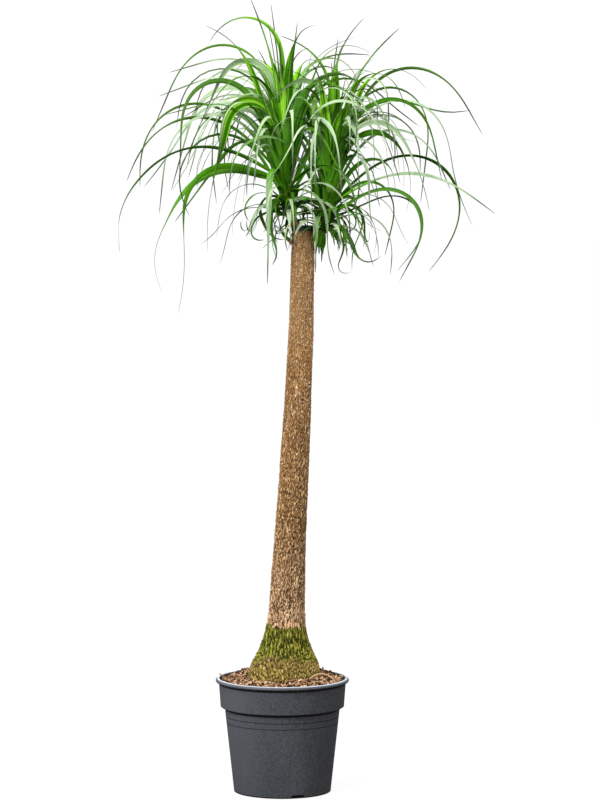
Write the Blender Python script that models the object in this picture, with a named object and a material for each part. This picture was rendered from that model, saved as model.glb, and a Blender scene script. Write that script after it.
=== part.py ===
"""Potted ponytail palm: a turned nursery pot, its soil, a flared corky trunk cut flat at the top, two leafy heads
and a small side shoot. Metres, +Z up, origin at the middle of the pot's flat bottom, +X towards the trunk's lean."""

import math
import random
from collections import namedtuple

import bmesh
import bpy
from mathutils import Vector, noise
from mathutils.bvhtree import BVHTree

# ---- driving dimensions -------------------------------------------------------------------------------------------
GAP = 0.0003  # left between pieces that touch

POT_LIP_R = 0.1352  # widest point of the rolled lip, a 27 cm nursery pot
POT_HEIGHT = 0.2305
POT_WALL = 0.0020
POT_FLOOR = 0.0026
POT_FOOT_R = 0.0985  # wall where it meets the bottom corner
POT_CORNER = 0.0030
COLLAR_FOOT_Z = 0.1668  # lower edge of the chamfer under the collar
COLLAR_EDGE_Z = 0.1759  # upper edge of that chamfer
BODY_TOP_R = 0.1164
COLLAR_FOOT_R = 0.1253
COLLAR_TOP_R = 0.1286
LIP_DROP = 0.0092  # height of the rolled lip
GROOVES_Z = (0.1415, 0.1540)
GROOVE_DEPTH = 0.0009
GROOVE_HALF = 0.0012
POT_SIDES = 40
NOTCH_COUNT = 3
NOTCH_FIRST = -71.2  # degrees from +X
NOTCH_WIDTH = 0.027
NOTCH_HEIGHT = 0.0055
NOTCH_REACH = 0.018  # how far in from the wall a drain notch runs

LEDGE_RISE = 0.4 * POT_WALL  # how much higher the ledge inside the collar lies than the chamfer outside it

SOIL_EDGE_Z = 0.2215
SOIL_MOUND = 0.0075  # rise from the wall to the trunk
SOIL_RELIEF = 0.0022
SOIL_GRAIN = 55.0  # lumps per metre
SOIL_RINGS = 5
SOIL_SIDES = 32
SOIL_CLEAR = 2.0 * GAP  # the pot's wall is faceted, so the soil keeps a little more than the gap

TRUNK_BASE = Vector((0.0046, 0.0, 0.150))  # foot of the trunk in the soil
TRUNK_CUT_Z = 1.1460
TRUNK_TOP_R = 0.0221
TRUNK_TAPER = 0.0131  # radius gained per metre down from the cut
TRUNK_LEAN = 0.0370  # sideways travel of the axis from the soil to the cut
SOIL_LINE_Z = 0.2300  # the trunk is a plain round foot below this
FLARE_Z = 0.2314  # middle of the swollen foot
SWELL, SWELL_REACH = 0.0265, 0.057
TOE, TOE_REACH = 0.0145, 0.125  # the long toe above the swelling
BLISTERS, RIBS = 0.045, 0.018  # relief of the bark, as shares of the radius
RIB_COUNT = 7.0
FOOT_SHRINK = 0.86  # the buried end is this much narrower than the foot
FLARE_RINGS = (0.236, 0.246, 0.257, 0.269, 0.283, 0.300, 0.320, 0.345, 0.375, 0.410)
BOLE_RINGS = 17  # even rings from the flare to the cut
TRUNK_SIDES = 24

STEM_SIDES = 10
STEM_RADII = (0.0098, 0.0122, 0.0132, 0.0118, 0.0072)
LEFT_STEM = ((0.0215, -0.002, 1.1560), (0.0130, -0.003, 1.1790), (0.0065, -0.003, 1.2060), (0.0035, -0.002, 1.2360),
             (0.0030, 0.000, 1.2660))
RIGHT_STEM = ((0.0762, 0.002, 1.1270), (0.0850, 0.003, 1.1480), (0.0915, 0.003, 1.1760), (0.0970, 0.002, 1.2060),
              (0.1010, 0.000, 1.2380))
SHOOT_STEM = ((0.0128, -0.007, 1.1180), (0.0065, -0.010, 1.1235), (0.0015, -0.012, 1.1300), (-0.0015, -0.013, 1.1370))
SHOOT_RADII = (0.0038, 0.0036, 0.0032, 0.0020)
STUB_GROWTH = 1.08  # a branch stub on the trunk is this much wider than the stem that stands on it
STUB_OUT, STUB_IN, STUB_DROP = 0.0150, 0.0165, 0.012  # from the stem's foot to the stub's start inside the trunk
STUB_NECK = 0.006

PATH_STEPS = 44  # steps along a leaf's centreline
ARCH_RINGS = (0, 7, 13, 18, 23, 28, 33, 38)  # the steps that carry a ring of an arching blade
SPEAR_RINGS = (0, 9, 20, 32)
SHORT_RINGS = (0, 7, 15, 24, 33)
TUFT_RINGS = (0, 10, 21, 33)
SHORT_LEAF = 0.28
SPEAR_TURN = 45.0  # a blade that turns less than this, in degrees, has the spear's rings
ROOT_DEPTH = 0.35  # how far out from the stem's axis a root starts, in stem radii
ROOT_WIDTH = 0.50
TIP_WIDTH = 0.07
TAPER_POWER = 1.15
CURL_FROM = 0.66  # share of the length where the tip starts to curl
KEEL_MIN = 0.0008
KEEL_SHARE = 0.12
CLEARANCE = 0.0012  # added to a blade's half width and keel while it is tried against the other nodes
GOLDEN_ANGLE = 137.508
TOP_LEAVES = 0.76  # roots above this share of the stem carry broad upright leaves
LOW_LEAVES = 0.46  # roots below this one carry short hanging ones
DEPTH_SHARE = 0.16  # leaves towards the front and the back are shorter and hang less, by up to these shares
LOW_DEPTH_SHARE = 0.46
HANG_SHARE = 0.34
FANS = (0.22, -0.42, 0.32, -0.16, 0.46, -0.52, 0.04, 0.36, -0.30)  # given to the chosen leaves in turn

# azimuth from +X, lift and end above the horizontal, sway, twist and curl of the tip in degrees; length and width in
# metres; the bend runs between two shares of the length; height is the root's place along its stem, 0 to 1; fan is
# the travel towards +Y that is added for each metre outwards
Leaf = namedtuple("Leaf", "azimuth lift end bend_from bend_to length width height sway twist curl fan")


def chosen(azimuth, lift, end, bend_from, bend_to, length, width, height, sway=0.0, twist=80.0, curl=0.0):
    return Leaf(azimuth, lift, end, bend_from, bend_to, length, width, height, sway, twist, curl, 0.0)


LEFT_CHOSEN = (
    chosen(176, 90, -64, 0.42, 1.05, 0.430, 0.017, 1.00),
    chosen(184, 88, 68, 0.10, 1.00, 0.345, 0.012, 0.98),
    chosen(170, 89, 82, 0.10, 1.00, 0.330, 0.011, 0.96),
    chosen(6, 87, 83, 0.00, 1.00, 0.292, 0.012, 0.97),
    chosen(-8, 85, -4, 0.28, 0.95, 0.350, 0.013, 0.92),
    chosen(190, 79, -78, 0.16, 0.50, 0.500, 0.021, 0.86, twist=150, curl=-14),
    chosen(195, 84, -66, 0.26, 0.64, 0.525, 0.016, 0.92, twist=160),
    chosen(172, 82, -66, 0.20, 0.84, 0.550, 0.014, 0.95),
    chosen(168, 86, -16, 0.22, 0.84, 0.405, 0.012, 0.92),
    chosen(187, 82, -20, 0.18, 0.80, 0.395, 0.012, 0.88),
    chosen(178, 70, -88, 0.22, 0.80, 0.480, 0.018, 0.84, twist=120),
    chosen(184, 52, -92, 0.14, 1.00, 0.465, 0.014, 0.86),
    chosen(172, 49, -69, 0.10, 1.00, 0.425, 0.014, 0.80),
    chosen(199, 62, -52, 0.06, 0.52, 0.340, 0.015, 0.82),
    chosen(180, 33, -56, 0.05, 0.78, 0.470, 0.017, 0.76, twist=60, curl=-42),
    chosen(187, 22, -92, 0.08, 0.62, 0.465, 0.016, 0.72, twist=200, curl=14),
    chosen(193, 24, -64, 0.02, 0.66, 0.445, 0.018, 0.66, twist=170, curl=-50),
    chosen(-124, 76, -88, 0.00, 0.30, 0.285, 0.018, 0.68, twist=20),
    chosen(-34, 6, -88, 0.00, 0.62, 0.240, 0.015, 0.58, twist=30, curl=24),
    chosen(-34, 42, -82, 0.05, 0.74, 0.315, 0.015, 0.58, twist=20, curl=24),
    chosen(-62, 24, -84, 0.00, 0.80, 0.075, 0.009, 0.14),
    chosen(182, 60, -84, 0.10, 0.84, 0.450, 0.015, 0.76, twist=90),
    chosen(176, 77, -74, 0.14, 0.74, 0.480, 0.015, 0.88, twist=130),
)
RIGHT_CHOSEN = (
    chosen(176, 90, 20, 0.40, 1.00, 0.340, 0.012, 0.98),
    chosen(178, 88, 99, 0.10, 1.00, 0.285, 0.010, 1.00),
    chosen(4, 72, -60, 0.22, 0.90, 0.520, 0.019, 0.90),
    chosen(14, 78, -88, 0.44, 0.82, 0.375, 0.015, 0.92),
    chosen(-4, 82, 42, 0.20, 1.00, 0.350, 0.012, 0.96),
    chosen(3, 89, 46, 0.52, 1.00, 0.340, 0.016, 0.99),
    chosen(-9, 79, -88, 0.50, 0.84, 0.315, 0.014, 0.90, twist=150),
    chosen(-12, 76, -97, 0.18, 0.80, 0.530, 0.018, 0.86, twist=60),
    chosen(10, 69, -84, 0.14, 0.76, 0.560, 0.017, 0.80, twist=40, curl=20),
    chosen(-6, 44, -128, 0.08, 0.96, 0.505, 0.018, 0.58, twist=60),
    chosen(12, 31, -36, 0.06, 0.90, 0.370, 0.012, 0.60),
    chosen(-14, 24, -130, 0.24, 0.90, 0.350, 0.015, 0.30, twist=40),
    chosen(6, 34, -118, 0.12, 0.86, 0.370, 0.015, 0.36),
    chosen(-20, 48, -104, 0.10, 0.80, 0.290, 0.014, 0.46),
    chosen(-50, 81, -88, 0.26, 0.60, 0.340, 0.016, 0.86, twist=160),
    chosen(-150, 84, -92, 0.38, 0.74, 0.285, 0.016, 0.86, sway=120, twist=120),
    chosen(-128, 86, -90, 0.36, 0.60, 0.395, 0.015, 0.94, twist=170),
    chosen(200, 86, -42, 0.33, 0.68, 0.420, 0.016, 0.92, twist=160),
    chosen(-112, 34, -89, 0.00, 0.46, 0.150, 0.015, 0.30),
    chosen(2, 73, -78, 0.20, 0.84, 0.440, 0.015, 0.84, twist=80),
    chosen(-16, 62, -66, 0.14, 0.90, 0.380, 0.013, 0.72),
)

# one leafy head: where its stem stands, how many further leaves the rule adds, its random seed and its first azimuth
Head = namedtuple("Head", "name stem radii chosen count seed first_azimuth")
HEADS = (
    Head("head_left", LEFT_STEM, STEM_RADII, LEFT_CHOSEN, 46, 11, 200.0),
    Head("head_right", RIGHT_STEM, STEM_RADII, RIGHT_CHOSEN, 46, 23, 20.0),
)
SHOOT = Head("side_shoot", SHOOT_STEM, SHOOT_RADII, (), 9, 37, 150.0)
TRIES = 60  # redraws of a leaf that would cross another node
FAN_STEP = 0.06  # how far a chosen leaf steps aside at each try


# ---- helpers ------------------------------------------------------------------------------------------------------
def clear_scene():
    for item in list(bpy.data.objects):
        bpy.data.objects.remove(item, do_unlink=True)


def material(name, colour, roughness, metallic=0.0):
    made = bpy.data.materials.new(name)
    made.use_nodes = True
    shader = made.node_tree.nodes["Principled BSDF"]
    shader.inputs["Base Color"].default_value = (*colour, 1.0)
    shader.inputs["Roughness"].default_value = roughness
    shader.inputs["Metallic"].default_value = metallic
    return made


def make_object(name, points, faces, smooth_angle=None):
    mesh = bpy.data.meshes.new(name)
    mesh.from_pydata([tuple(p) for p in points], [], faces)
    mesh.validate()
    made = bpy.data.objects.new(name, mesh)
    bpy.context.scene.collection.objects.link(made)
    if smooth_angle is not None:
        mesh.shade_smooth()
        mesh.set_sharp_from_angle(angle=math.radians(smooth_angle))
    return made


def apply_modifiers(target):
    """Bakes the target's modifiers into its mesh."""
    graph = bpy.context.evaluated_depsgraph_get()
    graph.update()
    baked = bpy.data.meshes.new_from_object(target.evaluated_get(graph), depsgraph=graph)
    target.modifiers.clear()
    old = target.data
    target.data = baked
    bpy.data.meshes.remove(old)


def ease(share):
    share = min(1.0, max(0.0, share))
    return share * share * (3.0 - 2.0 * share)


def ring_faces(rings, sides):
    """Triangles between rings of vertices that follow each other, all cut along the same diagonal."""
    faces = []
    for ring in range(rings - 1):
        for side in range(sides):
            after = (side + 1) % sides
            low = ring * sides
            faces.append((low + side, low + after, low + sides + after))
            faces.append((low + side, low + sides + after, low + sides + side))
    return faces


def turned(rings, sides):
    """Points and faces of a body turned about upright axes. rings runs over its whole surface, from a point on the
    axis at the bottom to one at the top or inside, as (radius, height as a function of angle, centre)."""
    points = []
    for radius, height, centre in rings[1:-1]:
        for side in range(sides):
            angle = 2.0 * math.pi * side / sides
            points.append((centre + radius * math.cos(angle), radius * math.sin(angle), height(angle)))
    faces = ring_faces(len(rings) - 2, sides)
    bottom, top = len(points), len(points) + 1
    last = (len(rings) - 3) * sides
    points += [(centre, 0.0, height(0.0)) for radius, height, centre in (rings[0], rings[-1])]
    for side in range(sides):
        after = (side + 1) % sides
        faces.append((bottom, after, side))
        faces.append((top, last + side, last + after))
    return points, faces


def level(z):
    return lambda angle: z


# ---- pot ----------------------------------------------------------------------------------------------------------
def body_radius(z):
    """Outer radius of the pot's body below the collar."""
    share = (z - POT_CORNER) / (COLLAR_FOOT_Z - POT_CORNER)
    return POT_FOOT_R + (BODY_TOP_R - POT_FOOT_R) * share


def pot_profile():
    """The pot's wall as (radius, height), from the middle of its bottom up the outside and down the inside."""
    outside = [(0.0, 0.0), (POT_FOOT_R - POT_CORNER, 0.0)]
    for degrees in (-60, -30, 0):
        turn = math.radians(degrees)
        radius = POT_FOOT_R - POT_CORNER + POT_CORNER * math.cos(turn)
        outside.append((radius, POT_CORNER + POT_CORNER * math.sin(turn)))
    for z in GROOVES_Z:
        outside.append((body_radius(z - GROOVE_HALF), z - GROOVE_HALF))
        outside.append((body_radius(z) - GROOVE_DEPTH, z - 0.3 * GROOVE_HALF))
        outside.append((body_radius(z + GROOVE_HALF), z + GROOVE_HALF))
    outside.append((BODY_TOP_R, COLLAR_FOOT_Z))
    outside.append((COLLAR_FOOT_R, COLLAR_EDGE_Z))
    lip_foot = POT_HEIGHT - LIP_DROP
    outside.append((COLLAR_TOP_R, lip_foot))
    lip_half = 0.5 * LIP_DROP
    lip_out = POT_LIP_R - COLLAR_TOP_R
    for degrees in (-60, -30, 0, 30, 60, 90):
        turn = math.radians(degrees)
        outside.append((COLLAR_TOP_R + lip_out * math.cos(turn), lip_foot + lip_half + lip_half * math.sin(turn)))
    inside = [
        (COLLAR_TOP_R - POT_WALL, POT_HEIGHT - 0.8 * POT_WALL),
        (COLLAR_FOOT_R - POT_WALL, COLLAR_EDGE_Z + LEDGE_RISE),
        (BODY_TOP_R - POT_WALL, COLLAR_FOOT_Z + LEDGE_RISE),
        (body_radius(POT_FLOOR) - POT_WALL, POT_FLOOR),
        (0.0, POT_FLOOR),
    ]
    return outside, inside


def make_pot():
    outside, inside = pot_profile()
    points, faces = turned([(radius, level(z), 0.0) for radius, z in outside + inside], POT_SIDES)
    pot = make_object("pot", points, faces)
    cutters = []
    for count in range(NOTCH_COUNT):
        turn = math.radians(NOTCH_FIRST + 360.0 / NOTCH_COUNT * count)
        bpy.ops.mesh.primitive_cube_add(size=1.0)
        cutter = bpy.context.object
        cutter.name = f"notch_cutter_{count}"
        reach = NOTCH_REACH + 0.02
        cutter.scale = (reach, NOTCH_WIDTH, 2.0 * NOTCH_HEIGHT)
        middle = POT_FOOT_R - NOTCH_REACH + 0.5 * reach
        cutter.location = (middle * math.cos(turn), middle * math.sin(turn), 0.0)
        cutter.rotation_euler = (0.0, 0.0, turn)
        cut = pot.modifiers.new(cutter.name, "BOOLEAN")
        cut.operation = "DIFFERENCE"
        cut.object = cutter
        cutters.append(cutter)
    bpy.context.view_layer.update()
    apply_modifiers(pot)
    for cutter in cutters:
        bpy.data.objects.remove(cutter, do_unlink=True)
    pot.data.shade_smooth()
    pot.data.set_sharp_from_angle(angle=math.radians(32))
    pot.data.materials.clear()
    pot.data.materials.append(material("pot", (0.045, 0.050, 0.056), 0.55))
    return pot


# ---- trunk --------------------------------------------------------------------------------------------------------
def trunk_axis_x(z):
    """Where the trunk's axis runs: upright in the soil, then leaning towards +X."""
    share = (z - SOIL_LINE_Z) / (TRUNK_CUT_Z - SOIL_LINE_Z)
    return TRUNK_BASE.x + TRUNK_LEAN * ease(share) ** 0.8


def trunk_radius(z):
    """Mean radius of the trunk: a slow taper, a swollen foot and a long toe above it."""
    z = max(z, SOIL_LINE_Z)
    swell = SWELL * math.exp(-(((z - FLARE_Z) / SWELL_REACH) ** 2))
    toe = TOE * math.exp((FLARE_Z - z) / TOE_REACH)
    return TRUNK_TOP_R + TRUNK_TAPER * (TRUNK_CUT_Z - z) + swell + toe


def trunk_relief(z, angle):
    """Corky blisters that run up the bark, fading out into the plain foot and the sawn edge."""
    fade = ease((z - SOIL_LINE_Z) / 0.04) * ease((TRUNK_CUT_Z - z) / 0.02)
    where = Vector((2.1 * math.cos(angle), 2.1 * math.sin(angle), 9.0 * z))
    ribs = 0.5 + 0.5 * math.sin(RIB_COUNT * angle + 9.0 * noise.noise(Vector((0.0, 0.0, 3.0 * z))))
    return fade * trunk_radius(z) * (BLISTERS * noise.noise(where) + RIBS * ribs)


def trunk_heights():
    """Ring heights: a plain foot, close rings over the flare and even ones up the bole."""
    foot = [TRUNK_BASE.z, TRUNK_BASE.z + 0.012, SOIL_LINE_Z]
    flare_top = FLARE_RINGS[-1]
    bole = [flare_top + (TRUNK_CUT_Z - flare_top) * (step + 1) / BOLE_RINGS for step in range(BOLE_RINGS)]
    return foot + list(FLARE_RINGS) + bole


def make_trunk():
    rings = [(0.0, level(TRUNK_BASE.z), trunk_axis_x(TRUNK_BASE.z))]
    for z in trunk_heights():
        radius = trunk_radius(z) * (FOOT_SHRINK if z == TRUNK_BASE.z else 1.0)
        rings.append((radius, level(z), trunk_axis_x(z)))
    rings.append((0.0, level(TRUNK_CUT_Z), trunk_axis_x(TRUNK_CUT_Z)))
    points, faces = turned(rings, TRUNK_SIDES)
    for ring, z in enumerate(trunk_heights()):
        for side in range(TRUNK_SIDES):
            angle = 2.0 * math.pi * side / TRUNK_SIDES
            x, y, height = points[ring * TRUNK_SIDES + side]
            out = trunk_relief(z, angle)
            points[ring * TRUNK_SIDES + side] = (x + out * math.cos(angle), y + out * math.sin(angle), height)
    trunk = make_object("trunk", points, faces)
    stubs = [make_stub(head) for head in (*HEADS, SHOOT)]
    fuse(trunk, stubs)
    trunk.data.shade_smooth()
    trunk.data.set_sharp_from_angle(angle=math.radians(50))
    trunk.data.materials.clear()
    trunk.data.materials.append(material("bark", (0.30, 0.19, 0.10), 0.85))
    return trunk


def make_stub(head):
    """The branch collar under a head's stem: it comes out of the trunk and ends flat, a gap below the stem."""
    foot = Vector(head.stem[0])
    way = (Vector(head.stem[1]) - foot).normalized()
    inward = Vector((trunk_axis_x(foot.z) - foot.x, -foot.y, 0.0)).normalized()
    start = foot - STUB_OUT * way + STUB_IN * inward - Vector((0.0, 0.0, STUB_DROP))
    radius = head.radii[0] * STUB_GROWTH
    route = [start, foot - STUB_NECK * way, foot - GAP * way]
    return tube(head.name + "_stub", route, [radius * 1.1, radius * 1.05, radius])


def tube(name, route, radii):
    """A round tube through the route, with flat ends square to it."""
    points = []
    for step, (place, radius) in enumerate(zip(route, radii)):
        way = (route[min(step + 1, len(route) - 1)] - route[max(step - 1, 0)]).normalized()
        across = way.cross(Vector((0.0, 1.0, 0.0))).normalized()
        other = way.cross(across)
        for side in range(STEM_SIDES):
            angle = 2.0 * math.pi * side / STEM_SIDES
            points.append(place + radius * (math.cos(angle) * across + math.sin(angle) * other))
    faces = ring_faces(len(route), STEM_SIDES)
    last = (len(route) - 1) * STEM_SIDES
    faces.append(tuple(reversed(range(STEM_SIDES))))
    faces.append(tuple(last + side for side in range(STEM_SIDES)))
    return make_object(name, points, faces)


def fuse(target, others):
    """One Boolean union of the others into the target, applied; the others are then removed."""
    group = bpy.data.collections.new(target.name + "_parts")
    bpy.context.scene.collection.children.link(group)
    for item in others:
        group.objects.link(item)
        bpy.context.scene.collection.objects.unlink(item)
    join = target.modifiers.new("union", "BOOLEAN")
    join.operation = "UNION"
    join.operand_type = "COLLECTION"
    join.collection = group
    join.solver = "MANIFOLD"
    bpy.context.view_layer.update()
    apply_modifiers(target)
    for item in list(group.objects):
        bpy.data.objects.remove(item, do_unlink=True)
    bpy.data.collections.remove(group)


def keep_outer_shell(target):
    """Drops every shell but the largest: hollows that the union has sealed, and scraps."""
    shape = bmesh.new()
    shape.from_mesh(target.data)
    waiting = set(shape.verts)
    shells = []
    while waiting:
        front = [waiting.pop()]
        shell = set(front)
        while front:
            for edge in front.pop().link_edges:
                for vert in edge.verts:
                    if vert in waiting:
                        waiting.remove(vert)
                        shell.add(vert)
                        front.append(vert)
        shells.append(shell)
    shells.sort(key=len)
    for shell in shells[:-1]:
        bmesh.ops.delete(shape, geom=list(shell), context="VERTS")
    shape.to_mesh(target.data)
    shape.free()


# ---- soil ---------------------------------------------------------------------------------------------------------
def soil_top(radius, centre, share):
    """Height of the soil round one ring, as a function of angle. share is 0 at the wall and 1 at the trunk, where the
    lumps fade out."""
    def height(angle):
        where = SOIL_GRAIN * Vector((centre + radius * math.cos(angle), radius * math.sin(angle), 0.0))
        return SOIL_EDGE_Z + SOIL_MOUND * ease(share) + SOIL_RELIEF * (1.0 - share) * noise.noise(where)
    return height


def inner_radius(z):
    """Radius of the pot's inside wall."""
    low, high = COLLAR_FOOT_Z + LEDGE_RISE, COLLAR_EDGE_Z + LEDGE_RISE
    if z >= high:
        share = (z - high) / (POT_HEIGHT - 0.8 * POT_WALL - high)
        return COLLAR_FOOT_R - POT_WALL + (COLLAR_TOP_R - COLLAR_FOOT_R) * share
    foot = body_radius(POT_FLOOR) - POT_WALL
    return foot + (BODY_TOP_R - POT_WALL - foot) * (z - POT_FLOOR) / (low - POT_FLOOR)


def make_soil():
    """The soil fills the pot and has a plain round hole for the trunk's foot."""
    low, high = COLLAR_FOOT_Z + LEDGE_RISE + GAP, COLLAR_EDGE_Z + LEDGE_RISE + GAP
    floor = POT_FLOOR + GAP
    edge_r = inner_radius(SOIL_EDGE_Z) - SOIL_CLEAR
    hole_r = trunk_radius(SOIL_LINE_Z) + 2.0 * GAP
    rings = [(0.0, level(floor), 0.0), (inner_radius(floor) - SOIL_CLEAR, level(floor), 0.0),
             (BODY_TOP_R - POT_WALL - SOIL_CLEAR, level(low), 0.0),
             (COLLAR_FOOT_R - POT_WALL - SOIL_CLEAR, level(high), 0.0)]
    for step in range(SOIL_RINGS + 1):
        share = step / SOIL_RINGS
        radius = edge_r + (hole_r - edge_r) * share
        centre = TRUNK_BASE.x * share
        rings.append((radius, soil_top(radius, centre, share), centre))
    rings.append((hole_r, level(TRUNK_BASE.z - GAP), TRUNK_BASE.x))
    rings.append((0.0, level(TRUNK_BASE.z - GAP), TRUNK_BASE.x))
    points, faces = turned(rings, SOIL_SIDES)
    soil = make_object("soil", points, faces, smooth_angle=60)
    soil.data.materials.append(material("soil", (0.16, 0.09, 0.05), 0.95))
    return soil


# ---- leaves -------------------------------------------------------------------------------------------------------
def stem_point(stem, share):
    """The place at a share of the stem's length, counted along its points, with the way it runs."""
    along = share * (len(stem) - 1)
    start = min(int(along), len(stem) - 2)
    first, second = Vector(stem[start]), Vector(stem[start + 1])
    return first.lerp(second, along - start), (second - first).normalized()


def stem_radius(head, share):
    along = share * (len(head.radii) - 1)
    start = min(int(along), len(head.radii) - 2)
    return head.radii[start] + (head.radii[start + 1] - head.radii[start]) * (along - start)


def leaf_path(head, leaf):
    """Centreline of a leaf as (point, side way, normal) at each step, root first."""
    place, _ = stem_point(head.stem, leaf.height)
    turn = math.radians(leaf.azimuth)
    start = place + ROOT_DEPTH * stem_radius(head, leaf.height) * Vector((math.cos(turn), math.sin(turn), 0.0))
    step = leaf.length / PATH_STEPS
    rows = []
    for count in range(PATH_STEPS + 1):
        share = count / PATH_STEPS
        bend = ease((share - leaf.bend_from) / (leaf.bend_to - leaf.bend_from))
        tip = leaf.curl * ease((share - CURL_FROM) / (1.0 - CURL_FROM))
        rise = math.radians(leaf.lift + (leaf.end - leaf.lift) * bend + tip)
        turn = math.radians(leaf.azimuth + leaf.sway * share * share)
        ahead = Vector((math.cos(turn), math.sin(turn) + leaf.fan, 0.0))
        way = math.cos(rise) * ahead + Vector((0.0, 0.0, math.sin(rise)))
        side = Vector((-ahead.y, ahead.x, 0.0)).normalized()
        normal = way.cross(side).normalized()
        roll = math.radians(leaf.twist) * ease((share - 0.25) / 0.6)
        rolled = math.cos(roll) * side + math.sin(roll) * normal
        rows.append((start.copy(), rolled, way.cross(rolled).normalized()))
        start += way * step
    return rows


def blade_width(leaf, share):
    spread = ROOT_WIDTH + (1.0 - ROOT_WIDTH) * ease(share / 0.12)
    return leaf.width * spread * (TIP_WIDTH + (1.0 - TIP_WIDTH) * (1.0 - share) ** TAPER_POWER)


def blade_mesh(head, leaf, ring_steps, swell=0.0):
    """A blade with a flat upper face and a keel below, drawn out to a point."""
    rows = leaf_path(head, leaf)
    points = []
    for step in ring_steps:
        place, side, normal = rows[step]
        half = 0.5 * blade_width(leaf, step / PATH_STEPS) + swell
        keel = KEEL_MIN + KEEL_SHARE * 2.0 * half + swell
        points += [place - side * half + normal * swell, place - normal * keel, place + side * half + normal * swell]
    faces = [(2, 1, 0)]
    for low in range(0, len(points) - 3, 3):
        middle = sum(points[low:low + 6], Vector()) / 6.0
        for side in range(3):
            corners = low + side, low + (side + 1) % 3, low + 3 + (side + 1) % 3, low + 3 + side
            faces += bulging(points, corners, middle)
    last = len(points) - 3
    tip = len(points)
    points.append(rows[-1][0])
    faces += [(last + side, last + (side + 1) % 3, tip) for side in range(3)]
    return points, faces


def bulging(points, corners, middle):
    """Two triangles for a four-cornered face, cut along the diagonal that lies further out from the middle, so that
    the faces of a thin twisted blade never pass through each other."""
    a, b, c, d = corners
    one, other = 0.5 * (points[a] + points[c]) - middle, 0.5 * (points[b] + points[d]) - middle
    if one.length > other.length:
        return [(a, b, c), (a, c, d)]
    return [(a, b, d), (b, c, d)]


def rings_for(head, leaf):
    if head is SHOOT:
        return TUFT_RINGS
    if leaf.length < SHORT_LEAF:
        return SHORT_RINGS
    return SPEAR_RINGS if abs(leaf.lift - leaf.end) < SPEAR_TURN else ARCH_RINGS


def ruled_leaf(head, index, attempt):
    """The rule for a head's further leaves: low ones short and hanging, middle ones long and arching, top ones broad
    and upright. Each try at a leaf has its own seeded draw."""
    draw = random.Random(head.seed * 100003 + index * 101 + attempt)
    height = 0.10 + 0.90 * (index + 0.5) / head.count
    azimuth = head.first_azimuth + GOLDEN_ANGLE * index + draw.uniform(-22, 22)
    sway, twist, curl = draw.uniform(-35, 35), draw.uniform(-160, 160), draw.uniform(-50, 35)
    if head is SHOOT:
        return Leaf(azimuth, draw.uniform(10, 80), draw.uniform(-100, 10), 0.1, 0.95, draw.uniform(0.028, 0.060),
                    0.0045, height, 2.0 * sway, 0.0, 0.0, 0.0)
    facing = abs(math.sin(math.radians(azimuth)))
    if height > TOP_LEAVES:
        lift = draw.uniform(70, 86)
        end = lift - draw.uniform(35, 150)
        return Leaf(azimuth, lift, end, draw.uniform(0.38, 0.54), 1.0, draw.uniform(0.25, 0.37),
                    draw.uniform(0.021, 0.026), height, 0.4 * sway, 0.1 * twist, 0.0, 0.0)
    if height < LOW_LEAVES:
        length = (draw.uniform(0.11, 0.20) + 0.26 * height) * (1.0 - LOW_DEPTH_SHARE * facing)
        return Leaf(azimuth, draw.uniform(0, 30) + 60 * height, draw.uniform(-105, -50), 0.0, draw.uniform(0.7, 1.0),
                    length, draw.uniform(0.011, 0.015), height, sway, 0.5 * twist, curl, 0.0)
    length = draw.uniform(0.36, 0.52) * (1.0 - DEPTH_SHARE * facing)
    end = draw.uniform(-98, -58) * (1.0 - HANG_SHARE * facing)
    return Leaf(azimuth, draw.uniform(48, 62) + 34 * height, end, draw.uniform(0.10, 0.28), draw.uniform(0.64, 0.96),
                length, draw.uniform(0.014, 0.019), height, sway, twist, curl, 0.0)


def chosen_leaf(head, index, attempt):
    """A chosen leaf, fanned out, which steps aside to the front and the back in turn where it would cross another."""
    side = 1 if attempt % 2 else -1
    return head.chosen[index]._replace(fan=FANS[index % len(FANS)] + side * FAN_STEP * ((attempt + 1) // 2))


def place_leaves(trunk):
    """Gives each head its leaves, in turn, so that no blade touches another node."""
    solid = tree_of(trunk)
    placed = {head.name: [] for head in (*HEADS, SHOOT)}
    taken = {head.name: [] for head in (*HEADS, SHOOT)}
    for head in (*HEADS, SHOOT):
        probe = stem_tube(head)
        taken[head.name].append(tree_of(probe))
        bpy.data.objects.remove(probe, do_unlink=True)
    rounds = [(head, chosen_leaf, index) for index in range(max(len(h.chosen) for h in HEADS)) for head in HEADS
              if index < len(head.chosen)]
    rounds += [(SHOOT, ruled_leaf, index) for index in range(SHOOT.count)]
    rounds += [(head, ruled_leaf, index) for index in range(max(h.count for h in HEADS)) for head in HEADS
               if index < head.count]
    for head, rule, index in rounds:
        blocked = [solid] + [tree for name, trees in taken.items() if name != head.name for tree in trees]
        for attempt in range(TRIES):
            leaf = rule(head, index, attempt)
            points, faces = blade_mesh(head, leaf, rings_for(head, leaf), swell=CLEARANCE)
            tree = BVHTree.FromPolygons(points, faces)
            if not any(tree.overlap(other) for other in blocked):
                placed[head.name].append(leaf)
                taken[head.name].append(tree)
                break
    return placed


def stem_tube(head):
    """The leafy stem's core, which stands on its stub."""
    return tube(head.name, [Vector(place) for place in head.stem], head.radii)


def tree_of(item):
    """A search tree of an object's surface."""
    mesh = item.data
    return BVHTree.FromPolygons([v.co.copy() for v in mesh.vertices], [tuple(p.vertices) for p in mesh.polygons])


def make_head(head, leaves, colour):
    core = stem_tube(head)
    blades = []
    for count, leaf in enumerate(leaves):
        points, faces = blade_mesh(head, leaf, rings_for(head, leaf))
        blades.append(make_object(f"{head.name}_blade_{count}", points, faces))
    fuse(core, blades)
    keep_outer_shell(core)
    core.data.materials.clear()
    core.data.materials.append(material(head.name, colour, 0.5))
    return core


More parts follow.
